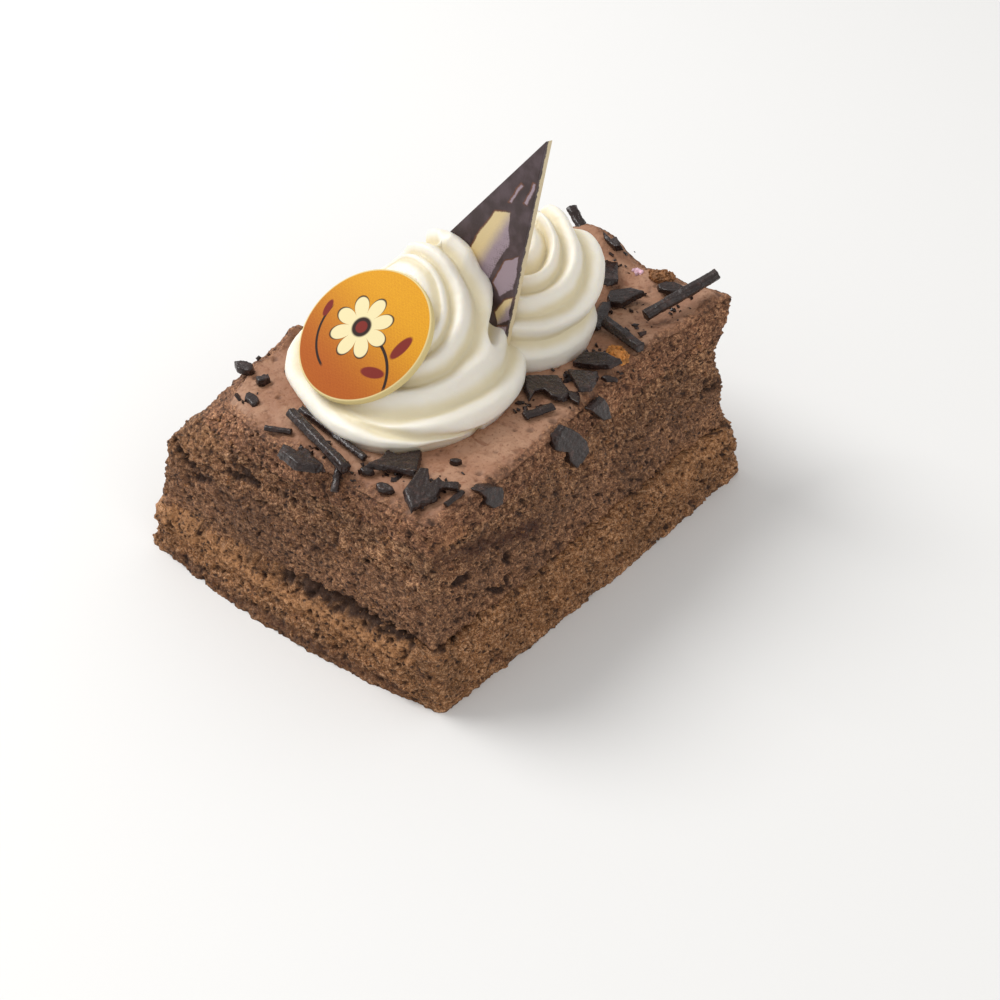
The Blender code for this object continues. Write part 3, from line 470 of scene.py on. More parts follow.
def cut_relief(place, cut):
    """How far a cut face stands out at a point, how deep its pores are, and its streaks.

    The depth is below 0 where a crumb stands out.
    """
    coarse = CRUMB * noise.noise(place / CRUMB_SIZE)
    coarse += FINE_CRUMB * noise.noise(place / FINE_CRUMB_SIZE + Vector((7.0, 3.0, 1.0)))
    wide, tall = LEDGE_STRETCH
    coarse += LEDGE * noise.noise(Vector((wide * place.x, wide * place.y, tall * place.z)) / LEDGE_SIZE)
    flat = Vector((place.x, place.y, CRUMB_FLATNESS * place.z))
    grain = noise.fractal(flat / GRAIN_SIZE, 0.75, 2.1, 4)
    distances, _ = noise.voronoi(flat / CLUMP_SIZE + Vector((3.0, 8.0, 5.0)))
    clump = smoothstep((distances[1] - distances[0]) / 0.5) - 0.6
    small_pore = pore_at(flat, 0.5 * cut.pore_size, 0.45, 4.0)
    pore = max(pore_at(flat, cut.pore_size, 0.5), 0.7 * small_pore)
    at = place / FRAY_SIZE
    fray = FRAY * Vector((noise.noise(at), noise.noise(at + Vector((9, 9, 9))), 0))
    ragged = place + Vector((0.0, 0.5 * fray.x, 0.5 * fray.y))
    hollow = near_segments(ragged, HOLLOWS)
    push = cut.torn * coarse + cut.grain * grain + cut.clump * clump - cut.pore * pore - hollow
    height = 1.1 * grain + 0.55 * clump
    # The depth also sets the crumb's painted shade in pores, hollows and low points, and its painted light
    # where a crumb stands out.
    deep = max(pore, min(1.0, hollow), smoothstep(-0.9 * height - 0.15))
    deep -= (1.0 - deep) * smoothstep(0.9 * height - 0.15)
    push *= 0.55 + 0.45 * smoothstep(place.z / 4.0)
    if cut is CUTS[0]:
        uneven = 1.0 + 1.2 * noise.noise(Vector((place.x, place.y, 0.0)) / FOOT_LEDGE_SIZE)
        low, high = FOOT_LEDGE_HEIGHTS
        push += FOOT_LEDGE * uneven * smoothstep((place.z - low) / (high - low))
    return cut.outset + push, deep, near_segments(ragged, STREAKS)


# ---------------------------------------------------------------- meshes


def finish_piece(bm, name, material, nodes=(), smooth=True):
    """Turn a bmesh in millimetres into a piece in metres that rides on the slice."""
    bmesh.ops.scale(bm, vec=(MM, MM, MM), verts=bm.verts)
    mesh = bpy.data.meshes.new(name)
    bm.to_mesh(mesh)
    bm.free()
    mesh.polygons.foreach_set("use_smooth", [smooth] * len(mesh.polygons))
    mesh.materials.append(material)
    piece = bpy.data.objects.new(name, mesh)
    bpy.context.scene.collection.objects.link(piece)
    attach(piece, "root")
    if nodes:
        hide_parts(*nodes)
    return piece


def remeshed(bm, voxel):
    """The same closed form as an even skin of small faces."""
    mesh = bpy.data.meshes.new("form")
    bm.to_mesh(mesh)
    bm.free()
    form = bpy.data.objects.new("form", mesh)
    bpy.context.scene.collection.objects.link(form)
    remesh = form.modifiers.new("Skin", "REMESH")
    remesh.mode = "VOXEL"
    remesh.voxel_size = voxel
    bpy.context.view_layer.update()
    skin = bpy.data.meshes.new_from_object(form.evaluated_get(bpy.context.evaluated_depsgraph_get()))
    made = bmesh.new()
    made.from_mesh(skin)
    bpy.data.objects.remove(form)
    bpy.data.meshes.remove(mesh)
    bpy.data.meshes.remove(skin)
    return made


def on_border(share):
    """Whether a share is at one end of its range."""
    return min(share, 1.0 - share) < 1e-5


def round_corner(u, v):
    """A point on the slice's side moved to its rounded corners, and the way it looks."""
    at_side, at_end = on_border(u), on_border(v)
    if not (at_side or at_end):
        return u, v, Vector((0, 0, 0))
    wide, long = FOOT_SIZE
    mirror_u, mirror_v = u > 0.5, v > 0.5
    across, along = min(u, 1 - u) * wide, min(v, 1 - v) * long
    turn = 0.25 * math.pi * (1 + min(1.0, max(across, along) / CORNER_ROUND))
    if max(across, along) < CORNER_ROUND:
        near, inward = CORNER_ROUND * (1 - math.cos(turn)), CORNER_ROUND * (1 - math.sin(turn))
        across, along = (inward, near) if at_side else (near, inward)
    look = Vector((math.sin(turn), math.cos(turn), 0) if at_side else (math.cos(turn), math.sin(turn), 0))
    look.x *= 1 if mirror_u else -1
    look.y *= 1 if mirror_v else -1
    u, v = across / wide, along / long
    return (1 - u if mirror_u else u), (1 - v if mirror_v else v), look


def close_rim(bm, rim, height):
    """Close an open rim with a sloping lip and a level cap."""
    made = bmesh.ops.extrude_edge_only(bm, edges=rim)["geom"]
    lip = [part for part in made if isinstance(part, bmesh.types.BMEdge) and part.is_boundary]
    for vert in {vert for edge in lip for vert in edge.verts}:
        vert.co.xy *= 1.0 - LIP_WIDTH / vert.co.xy.length
        vert.co.z = height
    bmesh.ops.contextual_create(bm, geom=lip)


def layer_span(level):
    """The heights between which a layer lies in the middle of the slice."""
    low = SEAMS[level - 1] if level else 0.0
    return low, SEAMS[level] if level < len(SEAMS) else TOP_HEIGHT


def layer_point(level, u, v, w):
    """A point at shares u, v and w of a layer's smooth form, and how it lies.

    Gives the place, the way that the side looks there, and how far it is from a side and
    from the layer's upper surface.
    """
    low, high = layer_span(level)
    u, v, look = round_corner(u, v)
    x, y = slice_point(u, v, round(low + (high - low) * w, 4))
    border = min(min(u, 1 - u) * FOOT_SIZE[0], min(v, 1 - v) * FOOT_SIZE[1])
    floor = seam_height(level - 1, x, y, border) if level else 0.0
    if level < len(SEAMS):
        ceiling = seam_height(level, x, y, border)
    else:
        ceiling = top_height(x, y) - RIM_DROP * (1 - smoothstep(border / RIM_WIDTH))
    height = floor + (ceiling - floor) * w
    return Vector((x, y, height)), look, border, ceiling - height


def make_filling(level, step, material):
    """One layer of the slice: a box whose points move to the slice's form and its crumb."""
    cut = CUTS[level]
    is_top = level == len(SEAMS)
    low, high = layer_span(level)
    bm = bmesh.new()
    bmesh.ops.create_cube(bm, size=1.0, matrix=Matrix.Translation((0.5, 0.5, 0.5)))
    bm.normal_update()
    open_ends = [f for f in bm.faces if f.normal.z < -0.5 or (f.normal.z > 0.5 and not is_top)]
    bmesh.ops.delete(bm, geom=open_ends, context="FACES_ONLY")
    for axis, side in enumerate((*FOOT_SIZE, high - low)):
        edges = [e for e in bm.edges if abs(e.verts[0].co[axis] - e.verts[1].co[axis]) > 1e-6]
        cuts = max(1, round(side / step) - 1)
        bmesh.ops.subdivide_edges(bm, edges=edges, cuts=cuts, use_grid_fill=True)
    low_rim = [e for e in bm.edges if e.is_boundary and e.verts[0].co.z < 0.5]
    high_rim = [e for e in bm.edges if e.is_boundary and e.verts[0].co.z > 0.5]
    layers = {name: bm.verts.layers.float.new(name) for name in ("pores", "streaks", "cut")}
    for vert in bm.verts:
        place, look, border, below = layer_point(level, *vert.co)
        if look.length > 0:
            push, deep, streak = cut_relief(place, cut)
            if is_top:
                share = min(1.0, max(0.0, below / RIM_ROUND))
                push -= RIM_ROUND * (1 - math.sqrt(1 - (1 - share) ** 2))
            place += look * push
            place.z = max(0.0, place.z)
            shares = (deep, streak, 1.0)
        else:
            shares = mousse_surface(place, border)
        for layer, share in zip(layers.values(), shares):
            vert[layer] = share
        vert.co = place
    close_rim(bm, low_rim, low + LIP_DROP if level else 0.0)
    if high_rim:
        close_rim(bm, high_rim, high - LIP_DROP)
    bm.normal_update()
    return finish_piece(bm, f"{cut.name}_crumb", material, [cut.name])


def mousse_surface(place, border):
    """Give the mousse's top its lumps and little pits, and say how deep they are."""
    ragged = 1.0 - smoothstep((border - 0.5) / 4.5)
    lump = noise.noise(place / TOP_LUMP_SIZE + Vector((4, 1, 7)))
    fine = noise.fractal(place / TOP_FINE_SIZE, 0.9, 2.1, 3)
    pit = pore_at(place, TOP_PIT_SIZE, 0.42, 2.0)
    small = pore_at(place, TOP_SMALL_PIT_SIZE, 0.30, 6.0)
    crumb = noise.fractal(place / TOP_CRUMB_SIZE + Vector((2, 5, 3)), 0.8, 2.1, 3)
    rise = TOP_LUMP * lump + TOP_FINE * fine - TOP_PIT * pit - TOP_SMALL_PIT * small
    place.z += rise + TOP_CRUMB * ragged * crumb
    deep = max(0.8 * pit, 0.5 * small, ragged * smoothstep(-1.3 * crumb - 0.2))
    cut = smoothstep(1.6 * ragged - 0.55 + 0.8 * crumb)
    return deep, 0.25 * lump, 0.85 * cut


def swirl_form(swirl, angle, share):
    """A point of a swirl's smooth outer form."""
    radius = swirl.radius * read_curve(swirl.profile, round(share, 5))
    around = Vector((math.cos(angle), math.sin(angle), 0.0)) * CREAM_UNEVENNESS_SIZE
    wobble = noise.noise(around + Vector((0.0, 0.0, 2 * share + swirl.seed)))
    radius *= 1 + CREAM_UNEVENNESS * wobble
    for direction, deep, width, middle, spread in swirl.dents:
        aside = (math.degrees(angle) - direction + 180) % 360 - 180
        radius -= deep * math.exp(-((aside / width) ** 2) - ((share - middle) / spread) ** 2)
    drift = share**LEAN_EASE
    x = swirl.centre[0] + swirl.lean[0] * drift + radius * math.cos(angle)
    y = swirl.centre[1] + swirl.lean[1] * drift + radius * math.sin(angle)
    return Vector((x, y, CREAM_FOOT + swirl.height * share))


def ridge_count(swirl, place):
    """How many grooves lie below or outside a point of a swirl."""
    by_height = read_line(swirl.heights, place.z)
    away = place - Vector(swirl.eye)
    axis = Vector(swirl.axis)
    by_reach = read_line(swirl.reaches, (away - away.dot(axis) * axis).length)
    blend = math.exp(-RIDGE_BLEND * by_height) + math.exp(-RIDGE_BLEND * by_reach)
    return -math.log(blend) / RIDGE_BLEND


def ridge_share(count):
    """How high on a ridge a point is: 0 down in the groove, 1 on the crest."""
    share = count % 1.0
    rise = share / RIDGE_CREST if share < RIDGE_CREST else (1 - share) / (1 - RIDGE_CREST)
    return RIDGE_ROUNDNESS * math.sin(0.5 * math.pi * rise) + (1 - RIDGE_ROUNDNESS) * smoothstep(rise)


def swirl_point(swirl, angle, share):
    """A point of a piped swirl, and how deep in a groove it lies."""
    place = swirl_form(swirl, angle, share)
    aside = swirl_form(swirl, angle + TINY_STEP, share) - swirl_form(swirl, angle - TINY_STEP, share)
    low, high = max(share - TINY_STEP, 0.0), min(share + TINY_STEP, 1.0)
    upward = swirl_form(swirl, angle, high) - swirl_form(swirl, angle, low)
    normal = aside.cross(upward).normalized()
    count = ridge_count(swirl, place)
    groove = 1.0 - ridge_share(count)
    sunk = read_line(swirl.depths, count) * groove
    turn = (math.degrees(angle) + 180) % 360 - 180
    if swirl.fold and swirl.fold[0][0] < turn < swirl.fold[-1][0]:
        off = (place.z - read_line(swirl.fold, turn)) / FOLD_WIDTH
        fold = math.exp(-off * off) * smoothstep((turn - swirl.fold[0][0]) / FOLD_EASE)
        sunk = max(sunk, FOLD_DEPTH * fold + 0.6 * sunk * (1 - fold))
        groove = max(groove * (1 - 0.5 * fold), fold)
    return place - normal * sunk, groove


def press_under_disc(place):
    """Cream under the disc lies just behind it, and rises steeply beside its edge."""
    away = place - DISC_CENTRE
    height = away.dot(DISC_NORMAL)
    aside = (away - height * DISC_NORMAL).length - DISC_RADIUS
    room = -DISC_THICKNESS - DISC_GAP + max(0.0, aside) * DISC_EDGE_RISE
    if height > room and aside < DISC_EDGE_REACH:
        return place - DISC_NORMAL * (height - room)
    return place


def make_swirl(swirl, columns, rows, material):
    """A piped swirl: a tall cylinder whose points move to the swirl's form."""
    bm = bmesh.new()
    groove_layer = bm.verts.layers.float.new("grooves")
    bmesh.ops.create_cone(
        bm, cap_ends=True, segments=columns, radius1=1.0, radius2=1.0, depth=1.0,
        matrix=Matrix.Translation((0, 0, 0.5)),
    )
    upright = [e for e in bm.edges if abs(e.verts[0].co.z - e.verts[1].co.z) > 0.5]
    bmesh.ops.subdivide_edges(bm, edges=upright, cuts=rows - 1)
    tip = [v for v in bm.verts if v.co.z > 0.9999]
    foot = [v for v in bm.verts if v.co.z < 0.0001]
    for vert in bm.verts:
        place, groove = swirl_point(swirl, math.atan2(vert.co.y, vert.co.x), vert.co.z)
        skin, bulge = (deep * noise.noise_vector(place / size) for deep, size in (CREAM_SKIN, CREAM_BULGE))
        place += skin + bulge
        vert.co = press_under_disc(place) if swirl.name == "cream_front" else place
        vert[groove_layer] = groove
    for vert in foot:
        vert.co.z -= CREAM_SINK
    bmesh.ops.pointmerge(bm, verts=tip, merge_co=sum((v.co for v in tip), Vector()) / len(tip))
    bmesh.ops.recalc_face_normals(bm, faces=bm.faces)
    return finish_piece(bm, f"{swirl.name}_piped", material, [swirl.name])


def unit_stick(chance):
    """An uneven six-sided stick along X, 1 long, 1 wide and 1 thick."""
    bm = bmesh.new()
    bmesh.ops.create_cone(
        bm, cap_ends=True, segments=6, radius1=0.5, radius2=0.5, depth=1.0,
        matrix=Matrix.Rotation(math.pi / 2, 4, "Y"),
    )
    edges = [e for e in bm.edges if abs(e.verts[0].co.x - e.verts[1].co.x) > 0.5]
    bmesh.ops.subdivide_edges(bm, edges=edges, cuts=4)
    for vert in bm.verts:
        vert.co.y *= chance.uniform(0.78, 1.0)
        vert.co.z *= chance.uniform(0.78, 1.0)
        vert.co.x *= chance.uniform(0.94, 1.0)
    return bm


def unit_flake(chance):
    """A splinter with a broken outline, 1 long, 1 wide and 1 thick."""
    bm = bmesh.new()
    bmesh.ops.create_cone(
        bm, cap_ends=True, segments=FLAKE_CORNERS, radius1=0.5, radius2=0.5, depth=1.0,
    )
    reach = [chance.uniform(0.62, 1.0) for _ in range(FLAKE_CORNERS)]
    reach[0] = 1.0
    reach[FLAKE_CORNERS // 2] = 1.0
    for vert in bm.verts:
        corner = round(math.atan2(vert.co.y, vert.co.x) * FLAKE_CORNERS / (2 * math.pi))
        reached = reach[corner % FLAKE_CORNERS]
        vert.co.xy *= reached * (1.0 if vert.co.z < 0 else chance.uniform(0.8, 0.97))
        vert.co.z *= chance.uniform(0.75, 1.0)
    return bm


def unit_outline(outline, chance):
    """A flake with an outline of its own, 1 long, 1 wide and 1 thick."""
    bm = bmesh.new()
    corners = len(outline)
    made = bmesh.ops.create_cone(
        bm, cap_ends=True, segments=corners, radius1=0.5, radius2=0.5, depth=1.0,
    )
    for vert in made["verts"]:
        turn = math.pi / 2 - math.atan2(vert.co.y, vert.co.x)
        x, y = outline[round(turn * corners / (2 * math.pi)) % corners]
        reached = 1.0 if vert.co.z < 0 else chance.uniform(0.84, 0.96)
        vert.co = (x * reached, y * reached, vert.co.z * chance.uniform(0.8, 1.0))
    bm.normal_update()
    caps = [f for f in bm.faces if len(f.verts) > 4]
    bmesh.ops.triangulate(bm, faces=caps, ngon_method="EAR_CLIP")
    return bm


def turned(piece):
    """Where a piece lies and how it is turned."""
    return (
        Matrix.Translation(piece.place)
        @ Matrix.Rotation(math.radians(piece.heading), 4, "Z")
        @ Matrix.Rotation(math.radians(-piece.pitch), 4, "Y")
        @ Matrix.Rotation(math.radians(piece.roll), 4, "X")
    )


def bit_form(piece):
    """A small bit of chocolate in its place."""
    chance = random.Random(piece.name)
    if piece.form in OUTLINES:
        bm = unit_outline(OUTLINES[piece.form], chance)
    else:
        bm = unit_stick(chance) if piece.form == "stick" else unit_flake(chance)
    bmesh.ops.scale(bm, vec=piece.size, verts=bm.verts)
    bmesh.ops.transform(bm, matrix=turned(piece), verts=bm.verts)
    return bm


def hidden_bits():
    """Bits on the far side of the top, scattered like those that show."""
    chance = random.Random(21)
    bits = []
    for number in range(HIDDEN_BITS):
        x = chance.uniform(*HIDDEN_BITS_X)
        step = (HIDDEN_BITS_Y[1] - HIDDEN_BITS_Y[0]) / HIDDEN_BITS
        y = HIDDEN_BITS_Y[0] + step * (number + chance.uniform(0.2, 0.8))
        size = (chance.uniform(3.5, 7.5), chance.uniform(2.0, 3.4), 1.5)
        place = (x, y, top_height(x, y) + HIDDEN_BIT_RISE)
        form = chance.choice(("stick", "flake"))
        bits.append(Piece(f"hidden_{number}", form, place, size, chance.uniform(0, 180), 0, 0))
    return bits


def gather(pieces):
    """Several bmeshes as one."""
    whole = bmesh.new()
    for bm in pieces:
        part = bpy.data.meshes.new("part")
        bm.to_mesh(part)
        bm.free()
        whole.from_mesh(part)
        bpy.data.meshes.remove(part)
    return whole


def roughen(bm, coarse, fine):
    """Break up a chocolate skin: shallow facets, ridges along its length, small pits."""
    bm.normal_update()
    corners = [max((v.co for v in bm.verts), key=way.dot) for way in CORNER_WAYS]
    first, second = max(itertools.combinations(corners, 2), key=lambda ends: (ends[0] - ends[1]).length)
    length = (first - second).normalized()
    moves = []
    for vert in bm.verts:
        facets, _ = noise.voronoi(vert.co / FACET_SIZE)
        across = vert.co - 0.85 * length * vert.co.dot(length)
        rise = coarse * (facets[0] - 0.45 + noise.noise(across / SKIN_RIDGE))
        moves.append(vert.normal * (rise + fine * noise.fractal(vert.co / SKIN_GRAIN, 0.8, 2.2, 3)))
    for vert, move in zip(bm.verts, moves):
        vert.co += move


def crumb_ball(bm, place, size, chance):
    """One crumb: a small lumpy ball."""
    turn = Matrix.Rotation(chance.uniform(0, math.tau), 4, Vector((chance.random(), chance.random(), 1)))
    squash = Matrix.Diagonal((size, size * chance.uniform(0.6, 1.0), size * chance.uniform(0.6, 1.0), 1))
    made = bmesh.ops.create_icosphere(
        bm, subdivisions=1, radius=1.0, matrix=Matrix.Translation(place) @ turn @ squash
    )
    for vert in made["verts"]:
        vert.co += (vert.co - place) * chance.uniform(-0.35, 0.25)


def scattered_specks():
    """Specks of chocolate that lie in clusters on the mousse."""
    chance = random.Random(9)
    bm = bmesh.new()
    for x, y, reach, count in SPECK_CLUSTERS:
        for _ in range(count):
            spot_x, spot_y = x + chance.gauss(0, reach / 2), y + chance.gauss(0, reach / 2)
            size = chance.uniform(0.25, 0.9)
            place = Vector((spot_x, spot_y, top_height(spot_x, spot_y) + 0.2 * size))
            spin = Matrix.Rotation(chance.uniform(0, math.tau), 4, (chance.random(), chance.random(), 1))
            squash = Matrix.Diagonal((size * chance.uniform(1, 2), size, size * 0.6, 1))
            turn = Matrix.Translation(place) @ spin @ squash
            made = bmesh.ops.create_cube(bm, size=1.0, matrix=turn)
            for vert in made["verts"]:
                vert.co += (vert.co - place) * chance.uniform(-0.45, 0.2)
    return bm


def crumb_cluster(piece, count, size, seed):
    """A little heap of crumbs that fills a piece's place."""
    chance = random.Random(seed)
    bm = bmesh.new()
    bmesh.ops.create_icosphere(bm, subdivisions=2, radius=0.42)
    for vert in bm.verts:
        vert.co *= 1.0 + 0.3 * noise.noise(vert.co * 3.0 + Vector((seed, 0, 0)))
    bmesh.ops.scale(bm, vec=piece.size, verts=bm.verts)
    for _ in range(count):
        away = Vector((chance.gauss(0, 1), chance.gauss(0, 1), chance.gauss(0, 1))).normalized()
        spot = Vector(a * b * 0.42 for a, b in zip(away, piece.size))
        crumb_ball(bm, spot, chance.uniform(0.6, 1.3) * size, chance)
    bmesh.ops.transform(bm, matrix=turned(piece), verts=bm.verts)
    return bm


# ---------------------------------------------------------------- materials


def feed(tree, sockets, values):
    """Give each input a value, or join it to another node's socket."""
    for socket, value in zip(sockets, values):
        if isinstance(value, bpy.types.NodeSocket):
            tree.links.new(value, socket)
        else:
            socket.default_value = value


def add_node(tree, kind, inputs=None, **settings):
    """Add a node, set it up and feed its named inputs."""
    node = tree.nodes.new(kind)
    for name, value in settings.items():
        setattr(node, name, value)
    inputs = inputs or {}
    feed(tree, [node.inputs[name] for name in inputs], inputs.values())
    return node


def object_point(tree):
    """The point on the piece, in metres."""
    return add_node(tree, "ShaderNodeTexCoord").outputs["Object"]


def four(rgb):
    """A colour with its alpha."""
    return (*rgb[:3], 1.0)


def mix(tree, share, first, second, kind="MIX"):
    """Mix two colours."""
    node = add_node(tree, "ShaderNodeMix", data_type="RGBA", blend_type=kind)
    feed(tree, (node.inputs[0], node.inputs[6], node.inputs[7]), (share, first, second))
    return node.outputs[2]


def maths(tree, operation, *values):
    """One sum on numbers or sockets."""
    node = add_node(tree, "ShaderNodeMath", operation=operation)
    feed(tree, node.inputs, values)
    return node.outputs[0]


def vector_maths(tree, operation, *values):
    """One sum on vectors: its vector, or its number where it gives one."""
    node = add_node(tree, "ShaderNodeVectorMath", operation=operation)
    feed(tree, node.inputs, values)
    return node.outputs["Value" if operation in ("LENGTH", "DISTANCE", "DOT_PRODUCT") else "Vector"]


def spread(tree, value, low, high, new_low=0.0, new_high=1.0):
    """Spread a range of values over another, with soft ends."""
    node = add_node(
        tree, "ShaderNodeMapRange", {
            "Value": value, "From Min": low, "From Max": high, "To Min": new_low, "To Max": new_high,
        },
        interpolation_type="SMOOTHSTEP",
    )
    return node.outputs["Result"]


def noise_texture(tree, vector, size, detail=3.0, roughness=0.55, distortion=0.0):
    """A cloudy pattern with blobs of a size in millimetres."""
    node = add_node(
        tree, "ShaderNodeTexNoise", {
            "Vector": vector, "Scale": 1.0 / (size * MM), "Detail": detail,
            "Roughness": roughness, "Distortion": distortion,
        },
    )
    return node.outputs["Fac"]


def new_material(name, colour_value, **values):
    """A Principled material, its node tree and its shader, with constants set on the shader."""
    material = bpy.data.materials.new(name)
    material.use_nodes = True
    material.diffuse_color = four(colour_value)
    shader = material.node_tree.nodes["Principled BSDF"]
    for name, value in values.items():
        shader.inputs[name.replace("_", " ")].default_value = value
    return material, material.node_tree, shader


def new_group(name, inputs, outputs):
    """A shader node group with named sockets, and the sockets inside it."""
    tree = bpy.data.node_groups.new(name, "ShaderNodeTree")
    for socket, kind in inputs:
        tree.interface.new_socket(socket, in_out="INPUT", socket_type=f"NodeSocket{kind}")
    for socket, kind in outputs:
        tree.interface.new_socket(socket, in_out="OUTPUT", socket_type=f"NodeSocket{kind}")
    return tree, tree.nodes.new("NodeGroupInput"), tree.nodes.new("NodeGroupOutput")


def crumb_group():
    """Torn crumb: patches and grains of three colours, with painted light on grains that stand out and
    painted shade in the gaps, pores, pits and cracks, and a rough height.
    """
    name = "Torn crumb"
    if name in bpy.data.node_groups:
        return bpy.data.node_groups[name]
    tree, given, made = new_group(
        name,
        [("Light", "Color"), ("Main", "Color"), ("Dark", "Color"), ("Pores", "Float"), ("Streaks", "Float")],
        [("Colour", "Color"), ("Height", "Float"), ("Gloss", "Float")],
    )
    at = object_point(tree)
    level = vector_maths(tree, "MULTIPLY", at, (0.62, 0.62, 1.0))
    clouds = noise_texture(tree, at, 8.0, 2.0, 0.5)
    moist = noise_texture(tree, level, 2.0, 3.0, 0.6, 1.0)
    grains = noise_texture(tree, level, 0.55, 4.0, 0.7, 0.5)
    fine = noise_texture(tree, at, 0.24, 2.0, 0.6)
    cells = add_node(tree, "ShaderNodeTexVoronoi", {"Vector": level, "Scale": 1.0 / (0.95 * MM)})
    near = maths(tree, "MULTIPLY_ADD", grains, 0.5, cells.outputs["Distance"])
    some = spread(tree, cells.outputs["Color"], 0.35, 0.55)
    pits = maths(tree, "MULTIPLY", spread(tree, near, 0.56, 0.42), some)
    main, light, dark = (given.outputs[name] for name in ("Main", "Light", "Dark"))
    # Painted light: grains that stand out, and the high points of the grain noise, take the light colour.
    raised = spread(tree, given.outputs["Pores"], 0.0, -1.0)
    lit = spread(tree, maths(tree, "MULTIPLY_ADD", raised, 0.12, grains), 0.47, 0.64)
    shade = mix(tree, lit, main, light)
    # Painted shade: the low points of the grain noise, the gaps between crumbs, take the dark colour.
    shade = mix(tree, spread(tree, grains, 0.47, 0.32, 0.0, 0.85), shade, dark)
    shade = mix(tree, 1.0, shade, spread(tree, clouds, 0.34, 0.66, 0.82, 1.16), "MULTIPLY")
    shade = mix(tree, 1.0, shade, spread(tree, fine, 0.32, 0.68, 0.52, 1.48), "MULTIPLY")
    damp = mix(tree, 1.0, shade, (0.62, 0.52, 0.48, 1.0), "MULTIPLY")
    shade = mix(tree, spread(tree, moist, 0.54, 0.70, 0.0, 0.8), shade, damp)
    # Golden streaks, in part painted light on ledges that face up.
    golden = spread(tree, given.outputs["Streaks"], 0.0, -0.5)
    golden_shade = mix(tree, 1.0, light, (1.05, 0.93, 0.74, 1.0), "MULTIPLY")
    golden = maths(tree, "MULTIPLY", golden, spread(tree, grains, 0.36, 0.56))
    shade = mix(tree, maths(tree, "MULTIPLY", golden, 0.7), shade, golden_shade)
    # Dark reddish streaks, in part painted contact shadow along the foot.
    red = spread(tree, given.outputs["Streaks"], 0.05, 0.6)
    red_shade = mix(tree, 1.0, dark, (1.6, 1.15, 1.1, 1.0), "MULTIPLY")
    shade = mix(tree, maths(tree, "MULTIPLY", red, 0.8), shade, red_shade)
    # Painted shade in small pits, which the bump also sinks.
    shade = mix(tree, maths(tree, "MULTIPLY", pits, 0.85), shade, dark)
    # Painted shade in pores, cracks and low hollows that the mesh marks.
    hollow = spread(tree, given.outputs["Pores"], 0.05, 1.0, 0.0, 0.92)
    shade = mix(tree, hollow, shade, dark)
    height = maths(tree, "MULTIPLY_ADD", pits, -0.45, grains)
    height = maths(tree, "MULTIPLY_ADD", fine, 0.4, height)
    glints = noise_texture(tree, at, 0.4, 1.0)
    tree.links.new(shade, made.inputs["Colour"])
    tree.links.new(height, made.inputs["Height"])
    tree.links.new(spread(tree, glints, 0.56, 0.68, 0.80, 0.28), made.inputs["Gloss"])
    return tree


def attribute(tree, name):
    """A value that the mesh carries at its points."""
    return add_node(tree, "ShaderNodeAttribute", attribute_name=name).outputs["Fac"]


def add_bump(tree, shader, height, distance):
    """Join a height to the shader's normal, as relief of a depth in millimetres."""
    bump = add_node(tree, "ShaderNodeBump", {"Distance": distance * MM, "Height": height})
    tree.links.new(bump.outputs["Normal"], shader.inputs["Normal"])


def add_crumb(tree, light, main, dark):
    """The torn crumb in three colours, with the pores and streaks that the mesh carries."""
    return add_node(
        tree, "ShaderNodeGroup", {
            "Light": four(light), "Main": four(main), "Dark": four(dark),
            "Pores": attribute(tree, "pores"), "Streaks": attribute(tree, "streaks"),
        },
        node_tree=crumb_group(),
    )


def crumb_material(name, light, main, dark):
    """Sponge or mousse that is cut or torn."""
    material, tree, shader = new_material(name, main, Specular_IOR_Level=0.4)
    crumb = add_crumb(tree, light, main, dark)
    tree.links.new(crumb.outputs["Colour"], shader.inputs["Base Color"])
    tree.links.new(crumb.outputs["Gloss"], shader.inputs["Roughness"])
    add_bump(tree, shader, crumb.outputs["Height"], 0.45)
    return material


def mousse_material(settings):
    """Smooth mousse with little pits that hold painted shade, torn where it was cut."""
    material, tree, shader = new_material("Mousse_top", settings.surface, Specular_IOR_Level=0.35)
    crumb = add_crumb(tree, settings.cut_light, settings.cut_main, settings.pore)
    at = object_point(tree)
    patches = noise_texture(tree, at, 7.0, 3.0, 0.6)
    smears = noise_texture(tree, at, 2.2, 4.0, 0.6, 0.8)
    pits = noise_texture(tree, at, 0.6, 2.0, 0.5)
    pale = spread(tree, patches, 0.35, 0.68)
    smooth = mix(tree, pale, four(settings.surface), four(settings.surface_light))
    smooth = mix(tree, spread(tree, smears, 0.50, 0.30, 0.0, 0.5), smooth, four(settings.cut_main))
    stains = noise_texture(tree, at, 3.4, 2.0, 0.6, 1.2)
    smooth = mix(tree, spread(tree, stains, 0.60, 0.72, 0.0, 0.6), smooth, four(settings.stain))
    # Painted shade in the small pits of the noise, where the bump sinks.
    smooth = mix(tree, spread(tree, pits, 0.42, 0.28, 0.0, 0.7), smooth, four(settings.cut_main))
    # Painted shade in the mesh's pits and ragged hollows.
    smooth = mix(tree, maths(tree, "MULTIPLY", attribute(tree, "pores"), 0.6), smooth, four(settings.pore))
    share = attribute(tree, "cut")
    tree.links.new(mix(tree, share, smooth, crumb.outputs["Colour"]), shader.inputs["Base Color"])
    tree.links.new(maths(tree, "MULTIPLY_ADD", share, 0.1, 0.62), shader.inputs["Roughness"])
    height = maths(tree, "MULTIPLY_ADD", pits, 0.5, maths(tree, "MULTIPLY", smears, 0.4))
    lift = maths(tree, "MULTIPLY", share, crumb.outputs["Height"])
    add_bump(tree, shader, maths(tree, "ADD", height, lift), 0.30)
    return material


